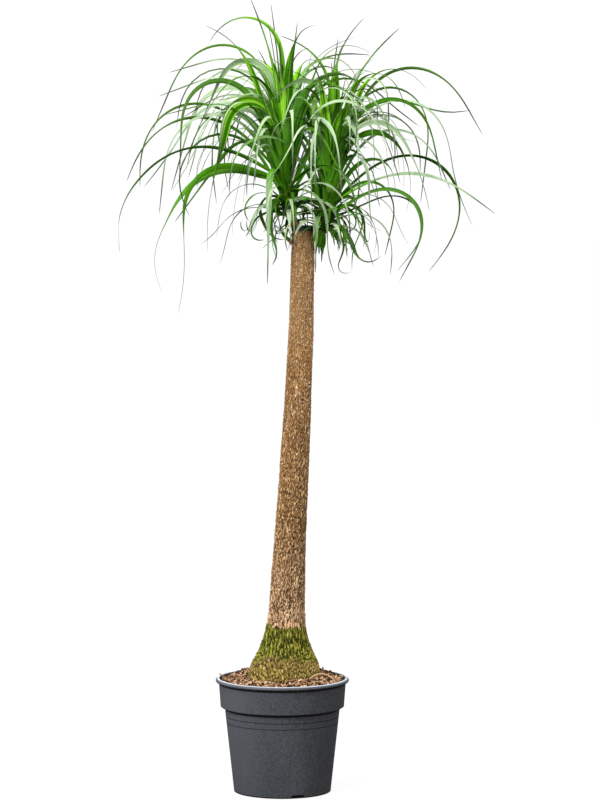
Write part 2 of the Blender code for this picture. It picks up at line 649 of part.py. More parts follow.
def main():
    clear_scene()
    make_pot()
    make_soil()
    placed = place_leaves(make_trunk())
    make_head(HEADS[0], placed["head_left"], (0.10, 0.28, 0.04))
    make_head(HEADS[1], placed["head_right"], (0.11, 0.30, 0.05))
    make_head(SHOOT, placed["side_shoot"], (0.12, 0.26, 0.06))


main()
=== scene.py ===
"""Looks of the potted ponytail palm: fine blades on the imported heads, corky bark with moss at the foot, bark
mulch and a moulded nursery pot, on a plain pale sweep. Metres, +Z up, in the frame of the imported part."""

import math
import random
from collections import namedtuple

import bpy
import numpy as np
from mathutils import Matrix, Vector, noise
from mathutils.kdtree import KDTree


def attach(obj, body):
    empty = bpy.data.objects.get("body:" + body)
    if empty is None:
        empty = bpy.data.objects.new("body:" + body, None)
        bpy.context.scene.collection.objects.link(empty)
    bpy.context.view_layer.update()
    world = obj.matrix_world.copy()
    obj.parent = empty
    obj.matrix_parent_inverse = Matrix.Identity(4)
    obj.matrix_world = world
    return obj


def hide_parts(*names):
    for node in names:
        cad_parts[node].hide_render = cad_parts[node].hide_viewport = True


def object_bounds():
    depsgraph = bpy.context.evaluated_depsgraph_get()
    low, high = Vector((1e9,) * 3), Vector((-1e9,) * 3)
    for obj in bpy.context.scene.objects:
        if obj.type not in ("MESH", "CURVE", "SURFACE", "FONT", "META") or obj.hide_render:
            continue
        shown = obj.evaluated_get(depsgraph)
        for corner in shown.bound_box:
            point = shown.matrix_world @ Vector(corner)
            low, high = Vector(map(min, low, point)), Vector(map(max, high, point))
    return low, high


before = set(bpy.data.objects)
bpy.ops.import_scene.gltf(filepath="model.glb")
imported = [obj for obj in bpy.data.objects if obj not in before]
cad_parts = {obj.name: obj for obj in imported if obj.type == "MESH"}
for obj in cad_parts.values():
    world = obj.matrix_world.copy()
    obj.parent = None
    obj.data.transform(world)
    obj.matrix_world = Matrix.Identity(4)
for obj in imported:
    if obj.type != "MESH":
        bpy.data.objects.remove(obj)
cad_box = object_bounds()
UP, TO_BACK = Vector((0.0, 0.0, 1.0)), Vector((0.0, 1.0, 0.0))

# ---- dimensions of the part --------------------------------------------------------------------------------
GAP = 0.0003  # between neighbouring nodes
POT_LIP_R = 0.1352  # widest point of the rolled lip, a 27 cm nursery pot
POT_HEIGHT = 0.2305
POT_WALL = 0.0020
POT_FLOOR = 0.0026
POT_FOOT_R = 0.0985  # wall where it meets the bottom corner
POT_CORNER = 0.0030
COLLAR_FOOT_Z = 0.1668  # lower edge of the chamfer under the collar
COLLAR_EDGE_Z = 0.1759  # upper edge of that chamfer
BODY_TOP_R = 0.1164
COLLAR_FOOT_R = 0.1253
COLLAR_TOP_R = 0.1286
LIP_DROP = 0.0092  # height of the rolled lip
GROOVES_Z = (0.1415, 0.1540)
NOTCH_COUNT = 3
NOTCH_FIRST = -71.2  # degrees from +X
NOTCH_WIDTH = 0.027
NOTCH_REACH = 0.018  # how far in from the wall a drain notch runs

LEDGE_RISE = 0.4 * POT_WALL  # how much higher the ledge inside the collar lies than the chamfer outside it

SOIL_EDGE_Z = 0.2215
SOIL_MOUND = 0.0075  # rise from the wall to the trunk
SOIL_RELIEF = 0.0022
SOIL_GRAIN = 55.0  # lumps per metre

TRUNK_BASE = Vector((0.0046, 0.0, 0.150))  # foot of the trunk in the soil
TRUNK_CUT_Z = 1.1460
TRUNK_TOP_R = 0.0221
TRUNK_TAPER = 0.0131  # radius gained per metre down from the cut
TRUNK_LEAN = 0.0370  # sideways travel of the axis from the soil to the cut
SOIL_LINE_Z = 0.2300  # the trunk is a plain round foot below this
FLARE_Z = 0.2314  # middle of the swollen foot
SWELL, SWELL_REACH = 0.0265, 0.057
TOE, TOE_REACH = 0.0145, 0.125  # the long toe above the swelling
BLISTERS, RIBS = 0.045, 0.018  # relief of the bark, as shares of the radius
RIB_COUNT = 7.0

STEM_RADII = (0.0098, 0.0122, 0.0132, 0.0118, 0.0072)
LEFT_STEM = ((0.0215, -0.002, 1.1560), (0.0130, -0.003, 1.1790), (0.0065, -0.003, 1.2060),
             (0.0035, -0.002, 1.2360), (0.0030, 0.000, 1.2660))
RIGHT_STEM = ((0.0762, 0.002, 1.1270), (0.0850, 0.003, 1.1480), (0.0915, 0.003, 1.1760),
              (0.0970, 0.002, 1.2060), (0.1010, 0.000, 1.2380))
SHOOT_STEM = ((0.0128, -0.007, 1.1180), (0.0065, -0.010, 1.1235), (0.0015, -0.012, 1.1300),
              (-0.0015, -0.013, 1.1370))
SHOOT_RADII = (0.0038, 0.0036, 0.0032, 0.0020)
STUB_GROWTH = 1.08  # a branch stub on the trunk is this much wider than the stem that stands on it
STUB_OUT, STUB_IN, STUB_DROP = 0.0150, 0.0165, 0.012  # from the stem's foot to the stub's start
STUB_NECK = 0.006

PATH_STEPS = 44  # steps along a leaf's centreline
ROOT_DEPTH = 0.35  # how far out from the stem's axis a root starts, in stem radii
CURL_FROM = 0.66  # share of the length where the tip starts to curl
GOLDEN_ANGLE = 137.508
TOP_LEAVES = 0.76  # roots above this share of the stem carry broad upright leaves
LOW_LEAVES = 0.46  # roots below this one carry short hanging ones
DEPTH_SHARE = 0.16  # leaves towards the front and the back are shorter and hang less, by up to these shares
LOW_DEPTH_SHARE = 0.46
HANG_SHARE = 0.34
FANS = (0.22, -0.42, 0.32, -0.16, 0.46, -0.52, 0.04, 0.36, -0.30)  # given to the chosen leaves in turn

# azimuth from +X, lift and end above the horizontal, sway, twist and curl of the tip in degrees; length and
# width in metres; the bend runs between two shares of the length; height is the root's place along its stem,
# 0 to 1; fan is the travel towards +Y that is added for each metre outwards
Leaf = namedtuple("Leaf", "azimuth lift end bend_from bend_to length width height sway twist curl fan",
                  defaults=(0.0, 80.0, 0.0, 0.0))
LEFT_CHOSEN = (
    Leaf(176, 90, -64, 0.42, 1.05, 0.430, 0.017, 1.00),
    Leaf(184, 88, 68, 0.10, 1.00, 0.345, 0.012, 0.98),
    Leaf(170, 89, 82, 0.10, 1.00, 0.330, 0.011, 0.96),
    Leaf(6, 87, 83, 0.00, 1.00, 0.292, 0.012, 0.97),
    Leaf(-8, 85, -4, 0.28, 0.95, 0.350, 0.013, 0.92),
    Leaf(190, 79, -78, 0.16, 0.50, 0.500, 0.021, 0.86, twist=150, curl=-14),
    Leaf(195, 84, -66, 0.26, 0.64, 0.525, 0.016, 0.92, twist=160),
    Leaf(172, 82, -66, 0.20, 0.84, 0.550, 0.014, 0.95),
    Leaf(168, 86, -16, 0.22, 0.84, 0.405, 0.012, 0.92),
    Leaf(187, 82, -20, 0.18, 0.80, 0.395, 0.012, 0.88),
    Leaf(178, 70, -88, 0.22, 0.80, 0.480, 0.018, 0.84, twist=120),
    Leaf(184, 52, -92, 0.14, 1.00, 0.465, 0.014, 0.86),
    Leaf(172, 49, -69, 0.10, 1.00, 0.425, 0.014, 0.80),
    Leaf(199, 62, -52, 0.06, 0.52, 0.340, 0.015, 0.82),
    Leaf(180, 33, -56, 0.05, 0.78, 0.470, 0.017, 0.76, twist=60, curl=-42),
    Leaf(187, 22, -92, 0.08, 0.62, 0.465, 0.016, 0.72, twist=200, curl=14),
    Leaf(193, 24, -64, 0.02, 0.66, 0.445, 0.018, 0.66, twist=170, curl=-50),
    Leaf(-124, 76, -88, 0.00, 0.30, 0.285, 0.018, 0.68, twist=20),
    Leaf(-34, 6, -88, 0.00, 0.62, 0.240, 0.015, 0.58, twist=30, curl=24),
    Leaf(-34, 42, -82, 0.05, 0.74, 0.315, 0.015, 0.58, twist=20, curl=24),
    Leaf(-62, 24, -84, 0.00, 0.80, 0.075, 0.009, 0.14),
    Leaf(182, 60, -84, 0.10, 0.84, 0.450, 0.015, 0.76, twist=90),
    Leaf(176, 77, -74, 0.14, 0.74, 0.480, 0.015, 0.88, twist=130),
)
RIGHT_CHOSEN = (
    Leaf(176, 90, 20, 0.40, 1.00, 0.340, 0.012, 0.98),
    Leaf(178, 88, 99, 0.10, 1.00, 0.285, 0.010, 1.00),
    Leaf(4, 72, -60, 0.22, 0.90, 0.520, 0.019, 0.90),
    Leaf(14, 78, -88, 0.44, 0.82, 0.375, 0.015, 0.92),
    Leaf(-4, 82, 42, 0.20, 1.00, 0.350, 0.012, 0.96),
    Leaf(3, 89, 46, 0.52, 1.00, 0.340, 0.016, 0.99),
    Leaf(-9, 79, -88, 0.50, 0.84, 0.315, 0.014, 0.90, twist=150),
    Leaf(-12, 76, -97, 0.18, 0.80, 0.530, 0.018, 0.86, twist=60),
    Leaf(10, 69, -84, 0.14, 0.76, 0.560, 0.017, 0.80, twist=40, curl=20),
    Leaf(-6, 44, -128, 0.08, 0.96, 0.505, 0.018, 0.58, twist=60),
    Leaf(12, 31, -36, 0.06, 0.90, 0.370, 0.012, 0.60),
    Leaf(-14, 24, -130, 0.24, 0.90, 0.350, 0.015, 0.30, twist=40),
    Leaf(6, 34, -118, 0.12, 0.86, 0.370, 0.015, 0.36),
    Leaf(-20, 48, -104, 0.10, 0.80, 0.290, 0.014, 0.46),
    Leaf(-50, 81, -88, 0.26, 0.60, 0.340, 0.016, 0.86, twist=160),
    Leaf(-150, 84, -92, 0.38, 0.74, 0.285, 0.016, 0.86, sway=120, twist=120),
    Leaf(-128, 86, -90, 0.36, 0.60, 0.395, 0.015, 0.94, twist=170),
    Leaf(200, 86, -42, 0.33, 0.68, 0.420, 0.016, 0.92, twist=160),
    Leaf(-112, 34, -89, 0.00, 0.46, 0.150, 0.015, 0.30),
    Leaf(2, 73, -78, 0.20, 0.84, 0.440, 0.015, 0.84),
    Leaf(-16, 62, -66, 0.14, 0.90, 0.380, 0.013, 0.72),
)

# one leafy head: where its stem stands, its chosen leaves, how many more the rule adds, its random seed and
# its first azimuth
Head = namedtuple("Head", "name stem radii chosen count seed first_azimuth")
SHOOT = Head("side_shoot", SHOOT_STEM, SHOOT_RADII, (), 9, 37, 150.0)
HEADS = (
    Head("head_left", LEFT_STEM, STEM_RADII, LEFT_CHOSEN, 46, 11, 200.0),
    Head("head_right", RIGHT_STEM, STEM_RADII, RIGHT_CHOSEN, 46, 23, 20.0),
    SHOOT,
)
TRIES = 60  # redraws of a leaf that would cross another node
FAN_STEP = 0.06  # how far a chosen leaf steps aside at each try

# ---- dimensions of the looks -------------------------------------------------------------------------------
SAME_PLACE = 0.0002  # a leaf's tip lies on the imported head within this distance
BOX_MARGIN = 0.004  # extra leaves keep this far inside the part's box
TRUNK_CLEAR = 0.006  # and this far off the trunk
BLADE_THICKNESS = 0.00045
# points across a blade's upper and lower face, in half widths
WIDE_SECTION = ((-1.0, -0.55, 0.0, 0.55, 1.0), (0.55, 0.0, -0.55))
THIN_SECTION = ((-1.0, 0.0, 1.0), (0.0,))
SHEATH_SHARE = 0.07  # share of a leaf that widens into its clasping base
SHEATH_WIDTH = 1.25
# the build of a kind of blade: its width against the solid that it stands for, how far its halves fold up,
# and the shares of its length between which its narrowing to a thread starts and ends
Taper = namedtuple("Taper", "growth fold hold narrow")
FAN_TAPER = Taper(1.05, 0.30, (0.40, 0.52), (0.78, 0.90))
LEAF_TAPER = Taper(0.76, 0.13, (0.14, 0.45), (0.80, 1.08))
TUFT_TAPER = Taper(0.90, 0.12, (0.40, 0.60), (0.85, 1.0))
EARLY_ROLL = 0.42  # share of a leaf's twist that it takes up near its root
UNDERSIDES = 0.30  # share of the leaves that turn their underside to the front
THREAD = 0.0015  # half width of the thread
LEAST_HALF = 0.0004
ROOT_FOLD = 0.42  # how much more a blade folds at its root
RIPPLE = 0.10  # waves along a blade's edges, in half widths
TUFT_TONE = 0.46  # how bright the low tufts get
FAN_WIDTH = 0.0205  # leaves broader than this in the top of a head are its bright young fan
SPEAR_AGE = 0.12
SHEATHS = 26  # clasping bases on a stem
# other leaves added to a head: threads, low tufts, spears, sheaths, covers and drapes
EXTRAS = {"head_left": (50, 30, 8, SHEATHS, 0, 3), "head_right": (20, 30, 8, SHEATHS, 5, 3)}
CORE_STEPS, CORE_SIDES = 36, 20  # rings and points round a stem

SIDES_ABOVE, SIDES_BELOW = 180, 360  # points round the bark above and below SPLIT_Z
SPLIT_Z = 0.360
FINE_FROM_Z = 0.216  # the bark's close rings start here
BARK_STEP = 0.0022  # height between them
CUT_EDGE, BOWL_EDGE = 0.985, 0.60  # shares of the cut's radius where its sharp edge and its bowl start
BOWL_DEEP, HEART_DEEP = 0.0010, 0.0014  # how deep the bowl and its middle lie
STUB_STEPS, STUB_SIDES = 40, 48
WANDER_GRAIN, QUIVER_GRAIN = 38.0, 150.0  # per metre: wide and fine waves that the bark's marks follow
SCAR_WAVER, SCAR_DEPTH, SCAR_RIDGE = 0.0020, 0.0022, 0.0010
SEAL_THICKNESS, SEAL_LUMPS, SEAL_WAVER = 0.0007, 0.0010, 0.0016
BARK_SEED = 7  # without it noise_vector takes its offsets from the clock
MOSS_TOP_Z = 0.338
MOSS_FOOT_Z = 0.272
MOSS_FRONT = -100.0  # azimuth where the thick moss starts highest
SEAL_Z = 1.1352  # lower edge of the tarry seal round the cut
PALE_FROM_Z = 0.70  # above this the bark on its +X side is painted paler, a painted light
# a layer of bark plates: how many stand round the trunk, their jitter, the seed, how much their rows wander,
# and at some heights how tall they are and how deep the cracks between them
Layer = namedtuple("Layer", "columns jitter seed wander heights tall depth")
BARK_LAYERS = (
    Layer(37, 0.50, 1.0, 0.35, (0.45, 0.70, 0.90, 1.14), (0.0120, 0.0070, 0.0050, 0.0044),
          (0.0, 0.0004, 0.0013, 0.0013)),
    Layer(58, 0.85, 2.0, 1.0, (0.27, 0.34, 0.38, 0.60, 0.85, 0.98),
          (0.0090, 0.0130, 0.0170, 0.0140, 0.0090, 0.0060), (0.0, 0.0006, 0.0012, 0.0013, 0.0008, 0.0)),
    Layer(46, 0.75, 3.0, 0.8, (0.26, 0.29, 0.33, 0.42, 0.70, 1.00),
          (0.0150, 0.0300, 0.0360, 0.0300, 0.0220, 0.0140), (0.0, 0.0026, 0.0026, 0.0018, 0.0011, 0.0003)),
    Layer(66, 0.80, 4.0, 1.0, (0.20, 0.275, 0.300, 0.345), (0.0085, 0.0085, 0.0100, 0.0100),
          (0.0024, 0.0024, 0.0012, 0.0006)),
)
# old leaf scars as (azimuth, height, half angle, half height)
CRACKS = ((-92.0, 0.906, 21.0, 0.0022), (-94.0, 0.737, 30.0, 0.0016), (-20.0, 1.036, 12.0, 0.0030),
          (-70.0, 0.795, 12.0, 0.0018), (30.0, 0.860, 24.0, 0.0018), (120.0, 0.990, 30.0, 0.0018),
          (170.0, 0.760, 26.0, 0.0020))
# healed buds under the cut as (azimuth, height, half width, rise)
KNOBS = ((-38.0, 1.124, 0.0050, 0.0040), (-22.0, 1.113, 0.0058, 0.0035), (-52.0, 1.105, 0.0040, 0.0024),
         (-128.0, 1.120, 0.0042, 0.0026), (60.0, 1.116, 0.0055, 0.0032), (150.0, 1.108, 0.0050, 0.0028))

POT_SIDES = 160
NOTCH_HEIGHT = 0.0068
CUT_HALF, CUT_DEPTH = 0.0006, 0.0012  # the fine grooves under the collar
SEAM = 0.0016  # depth of the sharp crease under the lip
# painted shade lines round the pot as (height, half height): under the collar, in the grooves, at the foot and
# under the lip
SHADE_LINES = ((0.5 * (COLLAR_FOOT_Z + COLLAR_EDGE_Z) - 0.0012, 0.0040), (GROOVES_Z[0], 0.0010),
         (GROOVES_Z[1], 0.0010), (0.0, 0.0030), (POT_HEIGHT - LIP_DROP, 0.0034))
SOIL_STEPS = 22  # rings of the soil's surface from the wall to the trunk
SOIL_CRUMB, CRUMB_GRAIN = 0.0010, 240.0  # size of its crumbs, and how many per metre
CHIPS, CHIP_SEED, CHIP_CORNERS = 1900, 4471, 7
CHIP_LENGTH, CHIP_LONGER = 0.0048, 0.0140  # the smallest chip, and how much longer the biggest one is
CHIP_WIDTH, CHIP_WIDER = 0.0024, 0.0046
CHIP_THICKNESS = (0.0014, 0.0042)
HEAP = 0.0090  # how far the loose chips heap up over the packed soil at the wall
SETTLED, FRONT_HEAP, BACK_HEAP = 0.0030, 0.0050, 0.0055  # how much lower or higher they lie in some places
# a surface root that loops out beside the trunk, two thinner ones and a twig: route, radius and how pale
ROOTS = (
    (((0.052, -0.058, 0.228), (0.060, -0.058, 0.2400), (0.074, -0.052, 0.2450), (0.089, -0.044, 0.2425),
      (0.100, -0.038, 0.2350), (0.107, -0.034, 0.225)), 0.0020, 1.0),
    (((0.092, -0.043, 0.2410), (0.099, -0.053, 0.2385), (0.105, -0.060, 0.2330), (0.108, -0.064, 0.224)),
     0.0013, 0.8),
    (((0.050, -0.084, 0.226), (0.060, -0.086, 0.2340), (0.074, -0.082, 0.2345), (0.088, -0.076, 0.2260)),
     0.0014, 0.7),
    (((-0.098, -0.024, 0.226), (-0.114, -0.030, 0.2345), (-0.1270, -0.034, 0.2440)), 0.0012, 0.0),
)
ROOT_SIDES = 8

FLOOR_REACH, WALL_HEIGHT = 12.0, 9.0
SWEEP_BEND, SWEEP_SIDES = 3.0, 96
FLOOR_GLOW, WALL_GLOW = 0.87, 0.985  # keep the sweep white up to its top
# the sky's strength goes along these axes from one share of the way to another, from one value to another
SKY = (("Z", (-0.30, 0.95, 0.02, 1.55)), ("X", (-1.0, 1.0, 1.15, 0.94)))
# soft lights as (place, target, width, watts, colour)
LIGHTS = {
    "key": ((-2.6, -3.4, 3.6), (0.0, 0.0, 0.8), 1.3, 200.0, (1.0, 0.985, 0.96)),
    "fill": ((1.2, -5.2, 3.4), (0.0, 0.0, 0.9), 2.6, 95.0, (1.0, 1.0, 1.0)),
}
CAMERA_PLACE = (0.0358, -7.0, 1.30)
CAMERA_TIP = 4.13  # degrees below level
CAMERA_LENS = 156.7


# ---- helpers -----------------------------------------------------------------------------------------------
def ease(share):
    share = min(1.0, max(0.0, share))
    return share * share * (3.0 - 2.0 * share)


def smooth(low, high, value):
    """Smooth step over arrays."""
    share = np.clip((value - low) / (high - low), 0.0, 1.0)
    return share * share * (3.0 - 2.0 * share)


def strips(rings, sides, first=0):
    """Quads between closed rings of vertices that follow each other."""
    ring, side = np.meshgrid(np.arange(rings - 1), np.arange(sides), indexing="ij")
    after = (side + 1) % sides
    low = first + ring * sides
    quads = np.stack([low + side, low + after, low + sides + after, low + sides + side], axis=-1)
    return [tuple(quad) for quad in quads.reshape(-1, 4).tolist()]


def rod(rings, sides):
    """Faces of a closed rod: quads between its rings and a face over each end."""
    last = (rings - 1) * sides
    return strips(rings, sides) + [tuple(reversed(range(sides))), tuple(range(last, last + sides))]


def spokes(way, aside, sides):
    """Unit vectors all round a way, square to it; the first is square to aside as well."""
    across = way.cross(aside).normalized()
    other = way.cross(across)
    turns = [2.0 * math.pi * side / sides for side in range(sides)]
    return [math.cos(turn) * across + math.sin(turn) * other for turn in turns]


def way_along(places, step):
    return (places[min(step + 1, len(places) - 1)] - places[max(step - 1, 0)]).normalized()


def fixed_random(first, second, seed):
    """A fixed number from 0 to 1 for each pair of whole numbers in two arrays."""
    value = np.sin(127.1 * first + 311.7 * second + 74.7 * seed) * 43758.5453
    return value - np.floor(value)


def jittered_cells(across, up, columns, jitter, seed):
    """For places on a grid that wraps round after so many columns: how far they lie from the nearest edge
    between two jittered cells, 0 at the edge, and a fixed number from 0 to 1 for the cell they lie in."""
    near, next_near = np.full(across.shape, 9.0), np.full(across.shape, 9.0)
    cell = np.zeros(across.shape)
    base_across, base_up = np.floor(across), np.floor(up)
    for step_across in (-1, 0, 1):
        for step_up in (-2, -1, 0, 1, 2):
            at_across, at_up = base_across + step_across, base_up + step_up
            column = np.mod(at_across, columns)
            stagger = fixed_random(column, 0.0 * column, seed + 0.5)
            off_across = at_across + 0.5 + jitter * (fixed_random(column, at_up, seed) - 0.5) - across
            off_up = at_up + stagger + jitter * (fixed_random(column, at_up, seed + 7.0) - 0.5) - up
            far = np.hypot(off_across, off_up)
            closer = far < near
            next_near = np.where(closer, near, np.minimum(next_near, far))
            cell = np.where(closer, fixed_random(column, at_up, seed + 13.0), cell)
            near = np.where(closer, far, near)
    return next_near - near, cell


def add_object(name, data):
    made = bpy.data.objects.new(name, data)
    bpy.context.scene.collection.objects.link(made)
    return made


class Pieces:
    """Collects meshes that become one object, with float attributes on points or on faces."""

    def __init__(self):
        self.points, self.faces, self.count = [], [], 0
        self.layers = {"POINT": {}, "FACE": {}}

    def add(self, points, faces, on_points=None, on_faces=None):
        points = np.asarray(points, float)
        self.points.append(points)
        self.faces += [tuple(int(corner) + self.count for corner in face) for face in faces]
        self.count += len(points)
        for domain, given, size in (("POINT", on_points, len(points)), ("FACE", on_faces, len(faces))):
            for name, value in (given or {}).items():
                spread = np.broadcast_to(np.asarray(value, float), (size,))
                self.layers[domain].setdefault(name, []).append(spread)

    def build(self, name, material, smooth_angle=None):
        mesh = bpy.data.meshes.new(name)
        mesh.from_pydata(np.concatenate(self.points).tolist(), [], self.faces)
        for domain, store in self.layers.items():
            for key, parts in store.items():
                layer = mesh.attributes.new(key, "FLOAT", domain)
                layer.data.foreach_set("value", np.concatenate(parts).astype(np.float32))
        mesh.materials.append(material)
        mesh.update()
        if smooth_angle is not None:
            soften(mesh, smooth_angle)
        return add_object(name, mesh)


def soften(mesh, angle):
    """Shades a mesh smooth, but sharp over edges that turn by more than an angle in degrees."""
    mesh.shade_smooth()
    mesh.set_sharp_from_angle(angle=math.radians(angle))


def dress(piece, slot, *nodes):
    """Makes a piece part of the object: it rides on the one body and stands for CAD nodes."""
    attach(piece, "root")
    if nodes:
        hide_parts(*nodes)
    return piece


class Shade:
    """A Principled material, and short calls that add nodes to it."""

    def __init__(self, name, roughness, specular):
        self.material = bpy.data.materials.new(name)
        self.material.use_nodes = True
        self.tree = self.material.node_tree
        self.shader = self.tree.nodes["Principled BSDF"]
        self.shader.inputs["Roughness"].default_value = roughness
        self.shader.inputs["Specular IOR Level"].default_value = specular

    def put(self, socket, value):
        if isinstance(value, bpy.types.NodeSocket):
            self.tree.links.new(value, socket)
        elif isinstance(value, tuple) and len(value) == 3 and socket.type == "RGBA":
            socket.default_value = (*value, 1.0)
        else:
            socket.default_value = value

    def node(self, kind, inputs=(), out=0, **settings):
        made = self.tree.nodes.new("ShaderNode" + kind)
        for key, value in settings.items():
            setattr(made, key, value)
        for key, value in dict(inputs).items():
            self.put(made.inputs[key], value)
        return made.outputs[out]

    def attributes(self, *names):
        return [self.node("Attribute", out="Fac", attribute_name=name) for name in names]

    def place(self):
        return self.node("TexCoord", out="Object")

    def axis(self, name, vector=None):
        return self.node("SeparateXYZ", {0: vector or self.place()}, out=name)

    def stretched(self, x, y, z):
        return self.node("VectorMath", {0: self.place(), 1: (x, y, z)}, operation="MULTIPLY")

    def length(self, vector):
        return self.node("VectorMath", {0: vector}, out="Value", operation="LENGTH")

    def math(self, operation, a, b=0.0):
        return self.node("Math", {0: a, 1: b}, operation=operation)

    def times(self, value, *factors):
        for factor in factors:
            value = self.math("MULTIPLY", value, factor)
        return value

    def band(self, value, low, high, to_low=0.0, to_high=1.0):
        """Eases from to_low to to_high while a value goes from low to high."""
        ends = {"From Min": low, "From Max": high, "To Min": to_low, "To Max": to_high}
        return self.node("MapRange", {"Value": value, **ends}, interpolation_type="SMOOTHSTEP")

    def mix(self, factor, a, b, blend="MIX"):
        made = self.tree.nodes.new("ShaderNodeMix")
        made.data_type = "RGBA"
        made.blend_type = blend
        for socket, value in ((made.inputs[0], factor), (made.inputs[6], a), (made.inputs[7], b)):
            self.put(socket, value)
        return made.outputs[2]

    def fade(self, a, b, value, low, high, amount=1.0):
        """Fades from colour a to b, or so much of the way, while a value goes from low to high."""
        return self.mix(self.band(value, low, high, 0.0, amount), a, b)

    def stain(self, colour, by, value, low, high, amount=1.0):
        """Multiplies a colour by another, or so much of the way, while a value goes from low to high."""
        return self.mix(self.band(value, low, high, 0.0, amount), colour, by, "MULTIPLY")

    def noise(self, scale, detail=3.0, roughness=0.55, vector=None):
        inputs = {"Scale": scale, "Detail": detail, "Roughness": roughness, "Vector": vector or self.place()}
        return self.node("TexNoise", inputs, out="Fac")

    def fibres(self, x, y, z, detail, roughness):
        """Noise with its own scale along each axis."""
        return self.noise(1.0, detail, roughness, self.stretched(x, y, z))

    def bump(self, height, distance, strength=1.0):
        return self.node("Bump", {"Height": height, "Distance": distance, "Strength": strength})

    def finish(self, colour, roughness=None, normal=None):
        for name, value in (("Base Color", colour), ("Roughness", roughness), ("Normal", normal)):
            if value is not None:
                self.put(self.shader.inputs[name], value)
        return self.material


# ---- materials ---------------------------------------------------------------------------------------------
def leaf_material():
    """Bright striped young fans, deep green older leaves with a pale grey-green on the upper face of some,
    partly a bloom and partly a painted sheen, painted shade on older undersides, fine veins along the
    blade, pale clasping bases and dry thread tips."""
    shade = Shade("leaf", 0.55, 0.02)
    along, across, tone, age = shade.attributes("along", "across", "tone", "age")
    share, under, edge, thin = shade.attributes("share", "under", "edge", "thin")
    lengthwise = {0: shade.times(across, 190.0), 1: shade.times(along, 3.0), 2: shade.times(tone, 90.0)}
    veins = shade.noise(1.0, 3.0, 0.65, shade.node("CombineXYZ", lengthwise))
    drift = shade.noise(9.0, 3.0, 0.6)
    # tone is random, but raised for blades that face the light, a painted light
    young = shade.fade((0.028, 0.155, 0.001), (0.235, 0.580, 0.022), veins, 0.42, 0.60)
    young = shade.stain(young, (0.50, 0.60, 0.60), tone, 0.55, 0.15, 0.45)
    mature = shade.fade((0.028, 0.150, 0.001), (0.115, 0.400, 0.007), tone, 0.0, 0.8)
    mature = shade.stain(mature, (0.50, 0.44, 0.80), share, 0.30, 0.65, 0.90)
    old = shade.mix(drift, (0.011, 0.060, 0.001), (0.056, 0.210, 0.003))
    green = shade.fade(young, mature, age, 0.10, 0.45)
    green = shade.fade(green, old, age, 0.55, 0.95)
    # painted shade on the undersides of older leaves
    underside_shade = shade.times(under, shade.band(age, 0.15, 0.40, 0.0, 0.62))
    green = shade.mix(underside_shade, green, (0.50, 0.60, 0.60), "MULTIPLY")
    # pale grey-green on the upper face past the bend: partly a bloom, partly a painted sheen
    bloom_and_sheen = shade.times(shade.band(tone, 0.33, 0.43), shade.band(age, 0.31, 0.41),
                        shade.band(share, 0.15, 0.38), shade.band(share, 0.65, 0.95, 1.0, 0.60),
                        shade.band(under, 0.0, 1.0, 1.0, 0.07), shade.band(drift, 0.25, 0.60, 0.6, 1.0))
    colour = shade.mix(bloom_and_sheen, green, (0.330, 0.430, 0.310))
    striped = shade.band(age, 0.08, 0.34, 0.45, 0.85)
    colour = shade.stain(colour, (1.7, 1.6, 1.4), veins, 0.38, 0.64, striped)
    clear = shade.band(age, 0.40, 0.10, 0.10, 0.50)
    colour = shade.fade(colour, (0.330, 0.560, 0.110), shade.math("ABSOLUTE", across), 0.0016, 0.0004, clear)
    bright = shade.band(age, 0.45, 0.05, 0.20, 0.75)
    colour = shade.fade(colour, (0.360, 0.600, 0.120), edge, 0.78, 1.0, bright)
    colour = shade.fade(colour, (0.300, 0.380, 0.090), along, 0.030, 0.0)
    dry = shade.times(shade.band(thin, 0.62, 0.95), shade.band(tone, -0.20, 0.40),
                      shade.band(share, shade.band(age, 0.1, 0.5, 0.45, 0.70), 1.0))
    colour = shade.mix(dry, colour, (0.042, 0.040, 0.045))
    return shade.finish(colour, shade.band(drift, 0.3, 0.7, 0.48, 0.60), shade.bump(veins, 0.00025, 0.6))


